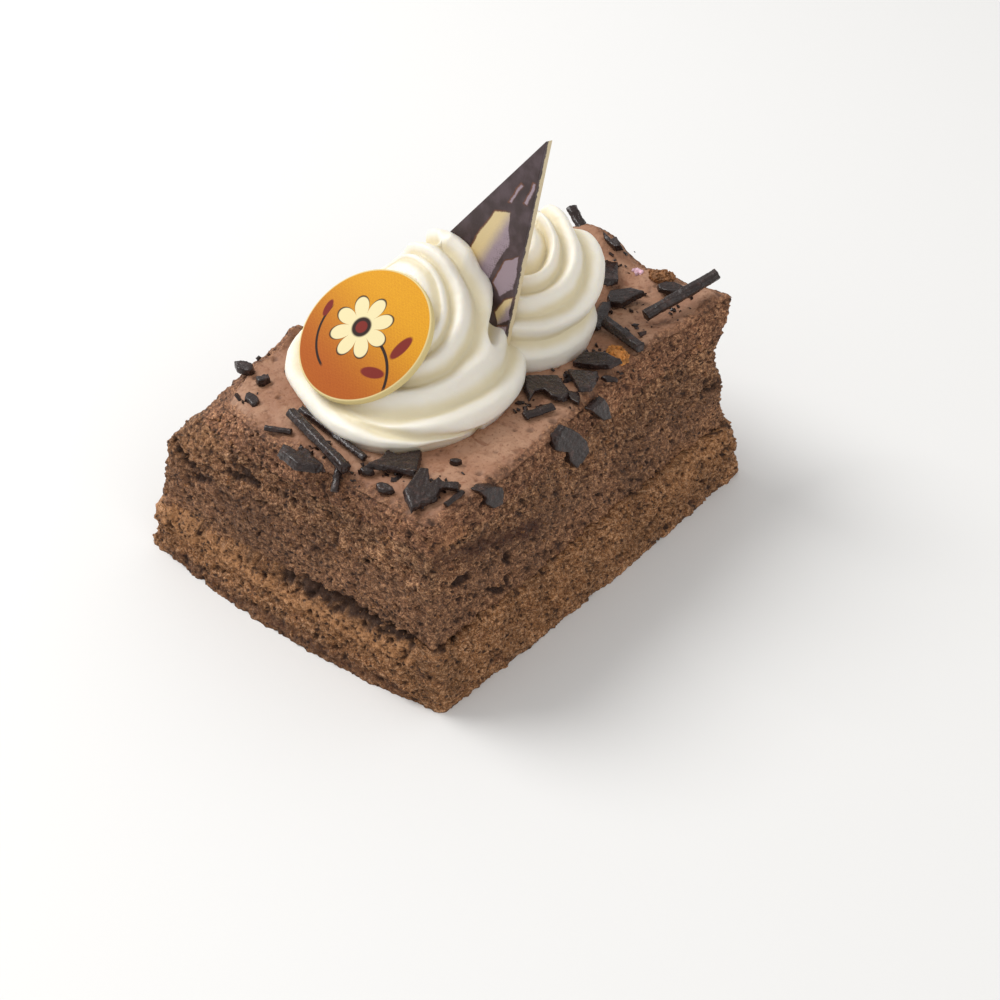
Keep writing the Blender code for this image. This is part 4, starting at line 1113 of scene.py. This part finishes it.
def cream_material(settings):
    """Whipped cream: white, with painted yellowish shade down in its grooves, and a fine airy skin."""
    material, tree, shader = new_material(
        "Whipped_cream", settings.cream, Roughness=0.42, Specular_IOR_Level=0.4,
        Subsurface_Weight=0.3, Subsurface_Scale=0.0012,
    )
    shader.inputs["Subsurface Radius"].default_value = (1.0, 0.85, 0.55)
    at = object_point(tree)
    clouds = noise_texture(tree, at, 8.0, 2.0)
    skin = noise_texture(tree, at, 0.55, 3.0, 0.6)
    # Painted shade: the groove colour fills the cream's grooves, by their depth.
    deep = maths(tree, "ADD", attribute(tree, "grooves"), spread(tree, clouds, 0.35, 0.7, -0.08, 0.08))
    shade = mix(tree, spread(tree, deep, 0.18, 0.85), four(settings.cream), four(settings.groove))
    tree.links.new(shade, shader.inputs["Base Color"])
    add_bump(tree, shader, skin, 0.05)
    return material


def chocolate_material(settings, name="Dark_chocolate"):
    """Dark chocolate: near black, with a broken gloss and paler scuffs."""
    material, tree, shader = new_material(
        name, settings.dark, Specular_IOR_Level=0.3, Coat_Weight=0.3, Coat_Roughness=0.16
    )
    at = object_point(tree)
    scuffs = noise_texture(tree, at, 1.5, 4.0, 0.65)
    grit = noise_texture(tree, at, 0.35, 3.0, 0.6)
    shade = mix(tree, spread(tree, scuffs, 0.50, 0.76), four(settings.dark), four(settings.scuffed))
    tree.links.new(shade, shader.inputs["Base Color"])
    tree.links.new(spread(tree, grit, 0.35, 0.65, 0.20, 0.50), shader.inputs["Roughness"])
    add_bump(tree, shader, maths(tree, "MULTIPLY_ADD", grit, 0.6, scuffs), 0.14)
    return material


def plane_point(tree):
    """The point on a printed face, from -1 to 1 across and up, from the piece's own map."""
    uv = add_node(tree, "ShaderNodeUVMap", uv_map="face").outputs["UV"]
    doubled = vector_maths(tree, "MULTIPLY", uv, (2.0, 2.0, 0.0))
    return vector_maths(tree, "SUBTRACT", doubled, (1.0, 1.0, 0.0))


def oval(tree, point, centre, size, angle=0.0, edge=0.12):
    """A mask of an oval with a soft edge."""
    local = add_node(
        tree, "ShaderNodeMapping", {
            "Vector": point, "Location": (*centre, 0.0),
            "Rotation": (0.0, 0.0, math.radians(angle)), "Scale": (*size, 1.0),
        },
        vector_type="TEXTURE",
    )
    return spread(tree, vector_maths(tree, "LENGTH", local.outputs[0]), 1.0 + edge, 1.0 - edge)


def arc(tree, point, centre, radius, width, inside):
    """A mask of a thin arc: the part of a ring that lies in another mask."""
    away = vector_maths(tree, "DISTANCE", point, (*centre, 0.0))
    off_line = maths(tree, "ABSOLUTE", maths(tree, "SUBTRACT", away, radius))
    return maths(tree, "MULTIPLY", spread(tree, off_line, width * 1.3, width * 0.7), inside)


def blossom(tree, point, centre, radius, petals):
    """A mask of a flower's petals round a centre."""
    local = vector_maths(tree, "SUBTRACT", point, (*centre, 0.0))
    parts = add_node(tree, "ShaderNodeSeparateXYZ", {"Vector": local})
    turn = maths(tree, "ARCTAN2", parts.outputs["Y"], parts.outputs["X"])
    wave = maths(tree, "ABSOLUTE", maths(tree, "COSINE", maths(tree, "MULTIPLY", turn, petals / 2)))
    reach = maths(tree, "MULTIPLY_ADD", maths(tree, "POWER", wave, 0.45), 0.62, 0.38)
    away = vector_maths(tree, "LENGTH", local)
    inside = maths(tree, "SUBTRACT", maths(tree, "MULTIPLY", reach, radius), away)
    return spread(tree, inside, -0.012, 0.012)


def disc_material(settings):
    """A cream disc with a printed flower on an orange ground."""
    material, tree, shader = new_material(
        "Printed_disc", settings.orange, Roughness=0.55, Specular_IOR_Level=0.12
    )
    point = plane_point(tree)
    parts = add_node(tree, "ShaderNodeSeparateXYZ", {"Vector": point})
    slope = maths(tree, "MULTIPLY_ADD", parts.outputs["Y"], 0.75, parts.outputs["X"])
    ground = mix(tree, spread(tree, slope, -1.0, 0.9), four(settings.orange), four(settings.yellow))
    dots = add_node(tree, "ShaderNodeTexVoronoi", {"Vector": point, "Scale": 46.0, "Randomness": 0.25})
    dotted = mix(tree, 1.0, ground, (0.84, 0.72, 0.62, 1.0), "MULTIPLY")
    ground = mix(tree, spread(tree, dots.outputs["Distance"], 0.52, 0.30), ground, dotted)
    dark, leaf, petal = four(settings.line), four(settings.leaf), four(settings.petal)
    shade = ground
    low_side = oval(tree, point, (0.30, -0.50), (0.46, 0.42), 20)
    shade = mix(tree, arc(tree, point, (-0.42, -0.62), 0.78, 0.022, low_side), shade, dark)
    left_side = oval(tree, point, (-0.66, 0.10), (0.20, 0.52), -12)
    shade = mix(tree, arc(tree, point, (0.02, 0.02), 0.74, 0.018, left_side), shade, dark)
    for centre, size, angle in (
        ((0.56, -0.34), (0.20, 0.085), 38), ((0.14, -0.62), (0.19, 0.08), -24),
        ((-0.56, 0.54), (0.13, 0.055), 60),
    ):
        shade = mix(tree, oval(tree, point, centre, size, angle), shade, leaf)
    shade = mix(tree, blossom(tree, point, (-0.04, 0.12), 0.49, 8), shade, dark)
    shade = mix(tree, blossom(tree, point, (-0.04, 0.12), 0.465, 8), shade, petal)
    shade = mix(tree, oval(tree, point, (-0.04, 0.12), (0.15, 0.15)), shade, dark)
    shade = mix(tree, oval(tree, point, (-0.04, 0.12), (0.09, 0.09)), shade, leaf)
    away = vector_maths(tree, "LENGTH", point)
    shade = mix(tree, spread(tree, away, 0.965, 0.98), shade, four(settings.rim))
    shade = mix(tree, attribute(tree, "printed"), four(settings.rim), shade)
    tree.links.new(shade, shader.inputs["Base Color"])
    at = object_point(tree)
    add_bump(tree, shader, noise_texture(tree, at, 0.6, 2.0), 0.02)
    return material


def shard_material(settings):
    """Pale chocolate with a dark face that is brushed with cream and lilac."""
    material, tree, shader = new_material("Marbled_chocolate", settings.face, Specular_IOR_Level=0.5)
    point = plane_point(tree)
    at = object_point(tree)
    bend = add_node(tree, "ShaderNodeTexNoise", {"Vector": at, "Scale": 220.0, "Detail": 2.0})
    shift = vector_maths(tree, "SUBTRACT", bend.outputs["Color"], (0.5, 0.5, 0.5))
    bent = vector_maths(tree, "MULTIPLY_ADD", shift, (0.07, 0.07, 0.0), point)
    clouds = noise_texture(tree, at, 3.2, 3.0)
    grit = noise_texture(tree, at, 0.4, 2.0)
    fray = maths(tree, "MULTIPLY_ADD", grit, 0.016, -0.008)
    dots = add_node(
        tree, "ShaderNodeTexVoronoi", {"Vector": at, "Scale": 1.0 / (0.42 * MM), "Randomness": 0.5}
    )
    shade = mix(tree, spread(tree, clouds, 0.35, 0.7), four(settings.face), four(settings.face_light))
    for corners, reach, tone in brush_marks(settings):
        depth, from_brush = inside_outline(tree, bent, corners)
        depth = maths(tree, "ADD", depth, fray)
        run = maths(tree, "DIVIDE", maths(tree, "ADD", from_brush, maths(tree, "MULTIPLY", fray, 2.0)), reach)
        fade = maths(tree, "MULTIPLY_ADD", dots.outputs["Distance"], -0.45, run)
        kept = maths(tree, "MULTIPLY", spread(tree, fade, 0.95, 0.30), 0.95)
        outline = maths(tree, "MULTIPLY", spread(tree, depth, -0.012, -0.003), spread(tree, run, 0.5, 0.0))
        shade = mix(tree, outline, shade, four(settings.outline))
        brushed = mix(tree, spread(tree, run, 0.18, 0.55), four(tone), four(settings.lilac))
        shade = mix(tree, maths(tree, "MULTIPLY", spread(tree, depth, 0.0, 0.012), kept), shade, brushed)
    torn = noise_texture(tree, at, 1.1, 3.0, 0.7)
    ragged = maths(tree, "MULTIPLY_ADD", torn, 0.7, attribute(tree, "printed"))
    shade = mix(tree, spread(tree, ragged, 0.93, 1.02), four(settings.body), shade)
    tree.links.new(shade, shader.inputs["Base Color"])
    tree.links.new(spread(tree, grit, 0.35, 0.65, 0.30, 0.50), shader.inputs["Roughness"])
    add_bump(tree, shader, grit, 0.05)
    return material


def inside_outline(tree, point, corners):
    """How far a point lies inside an outline with corners clockwise, and inside its first edge."""
    insides = []
    for (first_x, first_y), (second_x, second_y) in zip(corners, (*corners[1:], corners[0])):
        run = Vector((second_x - first_x, second_y - first_y)).normalized()
        inward = (run.y, -run.x, 0.0)
        along = vector_maths(tree, "DOT_PRODUCT", point, inward)
        insides.append(maths(tree, "SUBTRACT", along, inward[0] * first_x + inward[1] * first_y))
    depth = insides[0]
    for inside in insides[1:]:
        depth = maths(tree, "MINIMUM", depth, inside)
    return depth, insides[0]


def brush_marks(settings):
    """The brush marks on the shard's face: corners, how far the brush ran, and tone."""
    half = SHARD_EDGE / 2
    marks = (
        (
            ((-14.7, 28.6), (-8.6, 16.0), (-4.8, 15.1), (-4.2, 21.3), (-7.6, 29.6), (-11.3, 33.0)),
            8.6, settings.cream,
        ),
        (((-5.9, 13.6), (-3.8, 9.2), (-3.2, 9.4), (-5.0, 13.6)), 2.2, settings.lilac),
        (((-2.3, 12.6), (-1.2, 8.2), (-0.5, 8.4), (-1.4, 12.9)), 2.4, settings.lilac),
        (((-6.6, 29.6), (-4.4, 24.8), (-1.3, 22.5), (-1.5, 29.3), (-4.2, 31.6)), 5.6, settings.lilac),
        (((-4.7, 35.0), (-2.9, 31.9), (-1.0, 30.8), (-1.2, 35.3), (-3.5, 37.4)), 4.6, settings.cream),
        (((-5.0, 39.8), (-3.3, 37.4), (-1.5, 36.6), (-1.4, 39.6), (-3.4, 41.4)), 3.6, settings.lilac),
    )
    return [
        ([(across / half, 1.0 - down / half) for across, down in corners], reach / half, tone)
        for corners, reach, tone in marks
    ]


def plain_material(name, value, size=1.2, roughness=0.7):
    """One colour, lighter and darker in soft patches that follow its bumps as painted light and shade, with a
    grainy skin.
    """
    material, tree, shader = new_material(name, value, Roughness=roughness)
    at = object_point(tree)
    patches = noise_texture(tree, at, size, 4.0, 0.6)
    # Lit and dim copies of the colour: painted light on the raised patches, painted shade in the low ones.
    lit = tuple(min(1.0, channel * 1.35) for channel in value[:3])
    dim = tuple(channel * 0.55 for channel in value[:3])
    shade = mix(tree, spread(tree, patches, 0.3, 0.7), four(dim), four(lit))
    tree.links.new(shade, shader.inputs["Base Color"])
    add_bump(tree, shader, patches, 0.15)
    return material


# ---------------------------------------------------------------- settings


class SpongeSettings(bpy.types.PropertyGroup):
    """Sizes and colours of the sponge."""

    cell: length("Crumb cell", "Spacing of the points in the cut faces", 0.34, 0.2, 3.0)
    light: colour("Light crumb", "Colour of the crumbs that catch the light", srgb(188, 142, 104))
    base: colour("Foot", "Colour of the sponge at the foot", srgb(138, 93, 55))
    upper: colour("Upper sponge", "Colour of the sponge above the mousse", srgb(122, 82, 54))
    # Painted shade inside the pores, gaps and cracks of the sponge.
    pore: colour("Pores", "Colour inside the pores", srgb(50, 28, 17))
    loose: IntProperty(
        name="Loose crumbs", description="How many loose crumbs cling to the cut faces",
        default=2200, min=0, max=6000,
    )


class MousseSettings(bpy.types.PropertyGroup):
    """Colours of the mousse."""

    middle: colour("Middle", "Colour of the dense layer", srgb(122, 84, 58))
    # Light grains: partly their own paler tone, partly painted light on grains that stand out.
    middle_light: colour("Middle, light", "Light grains in the dense layer", srgb(176, 130, 94))
    surface: colour("Top", "Colour of the smooth top", srgb(157, 113, 87))
    surface_light: colour("Top, light", "Colour of the top's pale patches", srgb(177, 136, 109))
    cut_main: colour("Cut", "Colour of the top mousse where it is cut", srgb(124, 82, 56))
    # Light grains: partly their own paler tone, partly painted light on grains that stand out.
    cut_light: colour("Cut, light", "Light grains in the cut mousse", srgb(178, 131, 96))
    stain: colour("Stains", "Colour of the top's brown stains", srgb(126, 78, 52))
    # Painted shade inside the pores and pits of the mousse.
    pore: colour("Pores", "Colour inside the pores", srgb(50, 28, 18))


class CreamSettings(bpy.types.PropertyGroup):
    """Sizes and colours of the cream."""

    cream: colour("Cream", "Colour of the ridges", srgb(240, 234, 221))
    # Painted shade down in the grooves.
    groove: colour("Grooves", "Colour down in the grooves", srgb(226, 214, 182))
    columns: IntProperty(
        name="Columns", description="Faces round a swirl", default=220, min=36, max=300
    )
    rows: IntProperty(
        name="Rows", description="Rows of faces up a swirl", default=130, min=18, max=200
    )


class ChocolateSettings(bpy.types.PropertyGroup):
    """Sizes and colours of the dark chocolate."""

    dark: colour("Chocolate", "Colour of the dark chocolate", srgb(36, 21, 17))
    scuffed: colour("Scuffs", "Colour where the chocolate is scuffed", srgb(74, 50, 43))
    skin: length("Skin cell", "Spacing of the points in the chocolate's skin", 0.20, 0.12, 1.0)
    roughness: length("Broken faces", "Depth of the broken faces", 0.10, 0.0, 0.6)
    golden: colour("Golden crumb", "Colour of the golden crumb", srgb(196, 130, 62))
    pink: colour("Pink bit", "Colour of the pink bit", srgb(226, 186, 200))


class DiscSettings(bpy.types.PropertyGroup):
    """Colours of the printed disc."""

    rim: colour("Rim", "Colour of the disc's plain rim and side", srgb(222, 203, 146))
    orange: colour("Orange", "Colour of the ground's low side", srgb(176, 92, 26))
    yellow: colour("Yellow", "Colour of the ground's high side", srgb(222, 160, 26))
    petal: colour("Petals", "Colour of the petals", srgb(230, 216, 168))
    line: colour("Lines", "Colour of the thin lines", srgb(42, 24, 16))
    leaf: colour("Leaves", "Colour of the leaves", srgb(120, 34, 24))


class ShardSettings(bpy.types.PropertyGroup):
    """Colours of the marbled shard."""

    body: colour("Body", "Colour of the shard's back and edges", srgb(214, 196, 158))
    face: colour("Face", "Colour of its dark face", srgb(58, 42, 42))
    face_light: colour("Face, light", "Colour of the dark face's pale veil", srgb(82, 66, 70))
    outline: colour("Outline", "Thin line round each brush mark", srgb(104, 64, 44))
    cream: colour("Cream marks", "Colour of the cream brush marks", srgb(222, 200, 150))
    lilac: colour("Lilac marks", "Colour of the lilac brush marks", srgb(158, 140, 150))


class StageSettings(bpy.types.PropertyGroup):
    """Light and floor."""

    floor: colour("Floor", "Colour of the floor", srgb(236, 235, 233))
    sky: FloatProperty(name="Sky", description="Strength of the light from all round", default=0.62, min=0.0)
    key: FloatProperty(
        name="Key", description="Power of the large soft light", default=6.0, min=0.0, unit="POWER"
    )
    fill: FloatProperty(
        name="Fill", description="Power of the light by the camera", default=1.6, min=0.0, unit="POWER"
    )


class CakeSettings(bpy.types.PropertyGroup):
    """All settings of the slice."""

    sponge: PointerProperty(type=SpongeSettings)
    mousse: PointerProperty(type=MousseSettings)
    cream: PointerProperty(type=CreamSettings)
    chocolate: PointerProperty(type=ChocolateSettings)
    disc: PointerProperty(type=DiscSettings)
    shard: PointerProperty(type=ShardSettings)
    stage: PointerProperty(type=StageSettings)


# ---------------------------------------------------------------- operators


def crumb_step(settings):
    """The spacing of the points in the cut faces, in millimetres."""
    return settings.sponge.cell / MM


class CAKE_OT_sponge(bpy.types.Operator):
    """Make the two layers of sponge"""

    bl_idname = "cake.sponge"
    bl_label = "Sponge"

    def execute(self, context):
        """Make both layers."""
        settings = context.scene.cake
        look = settings.sponge
        for level, name, main in ((0, "Sponge_foot", look.base), (2, "Sponge_upper", look.upper)):
            material = crumb_material(name, look.light, main, look.pore)
            make_filling(level, crumb_step(settings), material)
        return {"FINISHED"}


class CAKE_OT_mousse(bpy.types.Operator):
    """Make the dense mousse layer and the light mousse on top"""

    bl_idname = "cake.mousse"
    bl_label = "Mousse"

    def execute(self, context):
        """Make both layers."""
        settings = context.scene.cake
        look = settings.mousse
        material = crumb_material("Mousse_middle", look.middle_light, look.middle, look.pore)
        make_filling(1, crumb_step(settings), material)
        make_filling(3, crumb_step(settings), mousse_material(look))
        return {"FINISHED"}


class CAKE_OT_loose_crumbs(bpy.types.Operator):
    """Stick loose crumbs to the cut faces"""

    bl_idname = "cake.loose_crumbs"
    bl_label = "Loose crumbs"

    def execute(self, context):
        """Scatter the crumbs evenly round the slice."""
        look = context.scene.cake.sponge
        chance = random.Random(5)
        bm = bmesh.new()
        for _ in range(look.loose):
            side, along = chance.randrange(4), chance.random()
            u, v = ((0.0, along), (1.0, along), (along, 0.0), (along, 1.0))[side]
            height = chance.uniform(0.6, TOP_HEIGHT - 1.0)
            level = sum(height > seam for seam in SEAMS)
            low, high = layer_span(level)
            place, away, _, _ = layer_point(level, u, v, (height - low) / (high - low))
            push, _, _ = cut_relief(place, CUTS[level])
            size = 0.18 + 0.34 * chance.random() ** 2
            crumb_ball(bm, place + away * (push - 0.2 * size), size, chance)
        material = crumb_material("Loose_crumbs", look.light, look.base, look.pore)
        finish_piece(bm, "loose_crumbs", material, smooth=False)
        return {"FINISHED"}


class CAKE_OT_cream(bpy.types.Operator):
    """Pipe the two swirls of cream"""

    bl_idname = "cake.cream"
    bl_label = "Cream"

    def execute(self, context):
        """Make both swirls."""
        look = context.scene.cake.cream
        material = cream_material(look)
        noise.seed_set(CREAM_SEED)
        for swirl in SWIRLS:
            make_swirl(swirl, look.columns, look.rows, material)
        return {"FINISHED"}


class CAKE_OT_disc(bpy.types.Operator):
    """Make the round chocolate disc"""

    bl_idname = "cake.disc"
    bl_label = "Disc"

    def execute(self, context):
        """A short cylinder with softened edges and a map on its face."""
        bm = bmesh.new()
        up = DISC_NORMAL.cross(DISC_RIGHT)
        turn = Matrix((DISC_RIGHT, up, DISC_NORMAL)).transposed().to_4x4()
        middle = DISC_CENTRE - DISC_NORMAL * (DISC_THICKNESS / 2)
        bmesh.ops.create_cone(
            bm, cap_ends=True, segments=128, depth=DISC_THICKNESS,
            radius1=DISC_RADIUS, radius2=DISC_RADIUS,
        )
        rims = [e for e in bm.edges if abs(e.verts[0].co.z - e.verts[1].co.z) < 0.1]
        bmesh.ops.bevel(
            bm, geom=rims, affect="EDGES", offset=0.3, segments=3, profile=0.5, material=-1
        )
        bm.faces.ensure_lookup_table()
        face = max(bm.faces, key=lambda f: f.calc_center_median().z)
        bmesh.ops.inset_region(bm, faces=[face], thickness=0.25, depth=0.03)
        face_height = DISC_THICKNESS / 2 - 0.02
        finish_face(bm, face_height - 0.01, face_height, lambda co: (co.x / DISC_RADIUS, co.y / DISC_RADIUS))
        bmesh.ops.transform(bm, matrix=Matrix.Translation(middle) @ turn, verts=bm.verts)
        finish_piece(bm, "disc_printed", disc_material(context.scene.cake.disc), ["disc"])
        return {"FINISHED"}


class CAKE_OT_shard(bpy.types.Operator):
    """Make the marbled shard between the swirls"""

    bl_idname = "cake.shard"
    bl_label = "Shard"

    def execute(self, context):
        """A thin triangle with softened edges and a map on its face."""
        bm = bmesh.new()
        right = math.radians(-SHARD_EDGE_LEAN)
        left = right - math.radians(SHARD_POINT_ANGLE)
        corners = [Vector((0, 0, 0))]
        corners += [Vector((math.sin(a), -math.cos(a), 0)) * SHARD_EDGE for a in (right, left)]
        bmesh.ops.create_circle(bm, cap_ends=True, segments=3, radius=1.0)
        for vert, corner in zip(list(bm.verts), corners):
            vert.co = corner
        made = bmesh.ops.extrude_face_region(bm, geom=bm.faces[:])
        moved = [part for part in made["geom"] if isinstance(part, bmesh.types.BMVert)]
        bmesh.ops.translate(bm, verts=moved, vec=(0, 0, -SHARD_THICKNESS))
        bmesh.ops.recalc_face_normals(bm, faces=bm.faces)
        bmesh.ops.bevel(
            bm, geom=bm.edges[:], affect="EDGES", offset=0.14, segments=2, profile=0.5, material=-1
        )
        finish_face(bm, -SHARD_THICKNESS, 0.0, lambda co: (co.x / SHARD_EDGE * 2, co.y / SHARD_EDGE * 2 + 1))
        lean = math.radians(SHARD_LEAN)
        up = Vector((0, math.sin(lean), math.cos(lean)))
        out = Vector((0, -math.cos(lean), math.sin(lean)))
        turn = Matrix((Vector((1, 0, 0)), up, out)).transposed().to_4x4()
        bmesh.ops.transform(bm, matrix=Matrix.Translation(SHARD_TIP) @ turn, verts=bm.verts)
        look = context.scene.cake.shard
        finish_piece(bm, "shard_marbled", shard_material(look), ["shard"], smooth=False)
        return {"FINISHED"}


def finish_face(bm, low, high, flatten):
    """Map a plate's upper face, and mark it as printed: 1 at a high point and 0 at a low one."""
    face_map = bm.loops.layers.uv.new("face")
    printed = bm.verts.layers.float.new("printed")
    for vert in bm.verts:
        vert[printed] = min(1.0, max(0.0, (vert.co.z - low) / (high - low)))
    for face in bm.faces:
        for loop in face.loops:
            across, up = flatten(loop.vert.co)
            loop[face_map].uv = (0.5 + 0.5 * across, 0.5 + 0.5 * up)


class CAKE_OT_chocolate(bpy.types.Operator):
    """Break the sticks and flakes of dark chocolate"""

    bl_idname = "cake.chocolate"
    bl_label = "Sticks and flakes"

    def execute(self, context):
        """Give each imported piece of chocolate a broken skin."""
        look = context.scene.cake.chocolate
        material = chocolate_material(look)
        skin = look.skin / MM * 1.0
        for node in CHOCOLATE_NODES:
            bm = bmesh.new()
            bm.from_mesh(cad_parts[node].data)
            bmesh.ops.scale(bm, vec=(1 / MM,) * 3, verts=bm.verts)
            bmesh.ops.remove_doubles(bm, verts=bm.verts, dist=0.001)
            bm = remeshed(bm, skin)
            rough = 1.5 if node in ROUGH_NODES else 1.0
            roughen(bm, look.roughness / MM, 0.07 * rough)
            finish_piece(bm, f"{node}_chocolate", material, [node])
        return {"FINISHED"}


class CAKE_OT_bits(bpy.types.Operator):
    """Scatter the small bits on the mousse"""

    bl_idname = "cake.bits"
    bl_label = "Small bits"

    def execute(self, context):
        """Small flakes, specks, the golden crumb and the pink bit."""
        look = context.scene.cake.chocolate
        material = chocolate_material(look, "Dark_chocolate_bits")
        skin = look.skin / MM * 1.0
        forms = []
        for bit in (*BITS, *hidden_bits()):
            bm = remeshed(bit_form(bit), skin)
            roughen(bm, 0.6 * look.roughness / MM, 0.06)
            forms.append(bm)
        finish_piece(gather(forms), "chocolate_bits", material)
        finish_piece(scattered_specks(), "chocolate_specks", material, smooth=False)
        for piece, count, size, seed, tone, slot in (
            (GOLDEN_CRUMB, 150, 0.42, 3, look.golden, "sponge"),
            (PINK_BIT, 26, 0.40, 4, look.pink, "top_mousse"),
            (CRUMB_BUMP, 130, 0.40, 6, context.scene.cake.sponge.base, "sponge"),
        ):
            material = plain_material(piece.name.capitalize(), tone)
            finish_piece(crumb_cluster(piece, count, size, seed), piece.name, material, smooth=False)
        return {"FINISHED"}


class CAKE_OT_stage(bpy.types.Operator):
    """Set the floor, the lights and the camera"""

    bl_idname = "cake.stage"
    bl_label = "Stage"

    def execute(self, context):
        """A pale floor, one large soft light, a fill by the camera and an even sky."""
        scene = context.scene
        look = scene.cake.stage
        scene.view_settings.view_transform = "Standard"
        bm = bmesh.new()
        bmesh.ops.create_grid(bm, x_segments=1, y_segments=1, size=1.5)
        mesh = bpy.data.meshes.new("floor")
        bm.to_mesh(mesh)
        bm.free()
        floor = bpy.data.objects.new("floor", mesh)
        floor_material, _, shader = new_material("Floor", look.floor, Roughness=0.6)
        shader.inputs["Base Color"].default_value = four(look.floor)
        mesh.materials.append(floor_material)
        scene.collection.objects.link(floor)
        world = bpy.data.worlds.new("Studio")
        world.use_nodes = True
        sky = world.node_tree.nodes["Background"]
        sky.inputs["Color"].default_value = (1.0, 1.0, 1.0, 1.0)
        sky.inputs["Strength"].default_value = look.sky
        scene.world = world
        azimuth, elevation = math.radians(CAMERA_AZIMUTH), math.radians(CAMERA_ELEVATION)
        level = Vector((math.sin(azimuth), -math.cos(azimuth), 0.0))
        back = level * math.cos(elevation) + Vector((0, 0, math.sin(elevation)))
        screen_right = Vector((math.cos(azimuth), math.sin(azimuth), 0.0))
        target = CAMERA_TARGET * MM
        for (name, across, nearer, up, size), power in zip(LIGHTS, (look.key, look.fill)):
            place = target + across * screen_right + nearer * level + Vector((0, 0, up))
            lamp = bpy.data.lights.new(name, "AREA")
            lamp.shape = "DISK"
            lamp.size = size
            lamp.energy = power
            light = bpy.data.objects.new(name, lamp)
            light.location = place
            light.rotation_euler = (target - place).to_track_quat("-Z", "Y").to_euler()
            scene.collection.objects.link(light)
        camera = bpy.data.cameras.new("Camera")
        camera.lens = CAMERA_LENS
        camera.sensor_width = 36.0
        camera.clip_start = 0.01
        viewer = bpy.data.objects.new("Camera", camera)
        viewer.location = target + back * CAMERA_DISTANCE * MM
        viewer.rotation_euler = (-back).to_track_quat("-Z", "Y").to_euler()
        scene.collection.objects.link(viewer)
        scene.camera = viewer
        return {"FINISHED"}


OPERATORS = (
    CAKE_OT_sponge, CAKE_OT_mousse, CAKE_OT_loose_crumbs, CAKE_OT_cream, CAKE_OT_disc,
    CAKE_OT_shard, CAKE_OT_chocolate, CAKE_OT_bits, CAKE_OT_stage,
)


class CAKE_PT_panel(bpy.types.Panel):
    """The slice's settings and the buttons that make its pieces"""

    bl_idname = "CAKE_PT_panel"
    bl_label = "Mousse cake slice"
    bl_space_type = "VIEW_3D"
    bl_region_type = "UI"
    bl_category = "Mousse cake"

    def draw(self, context):
        """List each group of settings, then the buttons."""
        for name in CakeSettings.__annotations__:
            box = self.layout.box()
            box.label(text=name.capitalize())
            group = getattr(context.scene.cake, name)
            for setting in group.__annotations__:
                box.prop(group, setting)
        for operator in OPERATORS:
            self.layout.operator(operator.bl_idname)


CLASSES = (
    SpongeSettings, MousseSettings, CreamSettings, ChocolateSettings, DiscSettings,
    ShardSettings, StageSettings, CakeSettings, *OPERATORS, CAKE_PT_panel,
)


def register():
    """Add the settings, the operators and the panel."""
    for item in CLASSES:
        bpy.utils.register_class(item)
    bpy.types.Scene.cake = PointerProperty(type=CakeSettings)


def unregister():
    """Take them out again."""
    del bpy.types.Scene.cake
    for item in reversed(CLASSES):
        bpy.utils.unregister_class(item)


def main():
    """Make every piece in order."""
    register()
    for operator in OPERATORS:
        group, name = operator.bl_idname.split(".")
        getattr(getattr(bpy.ops, group), name)()
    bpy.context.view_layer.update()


if __name__ == "__main__":
    main()
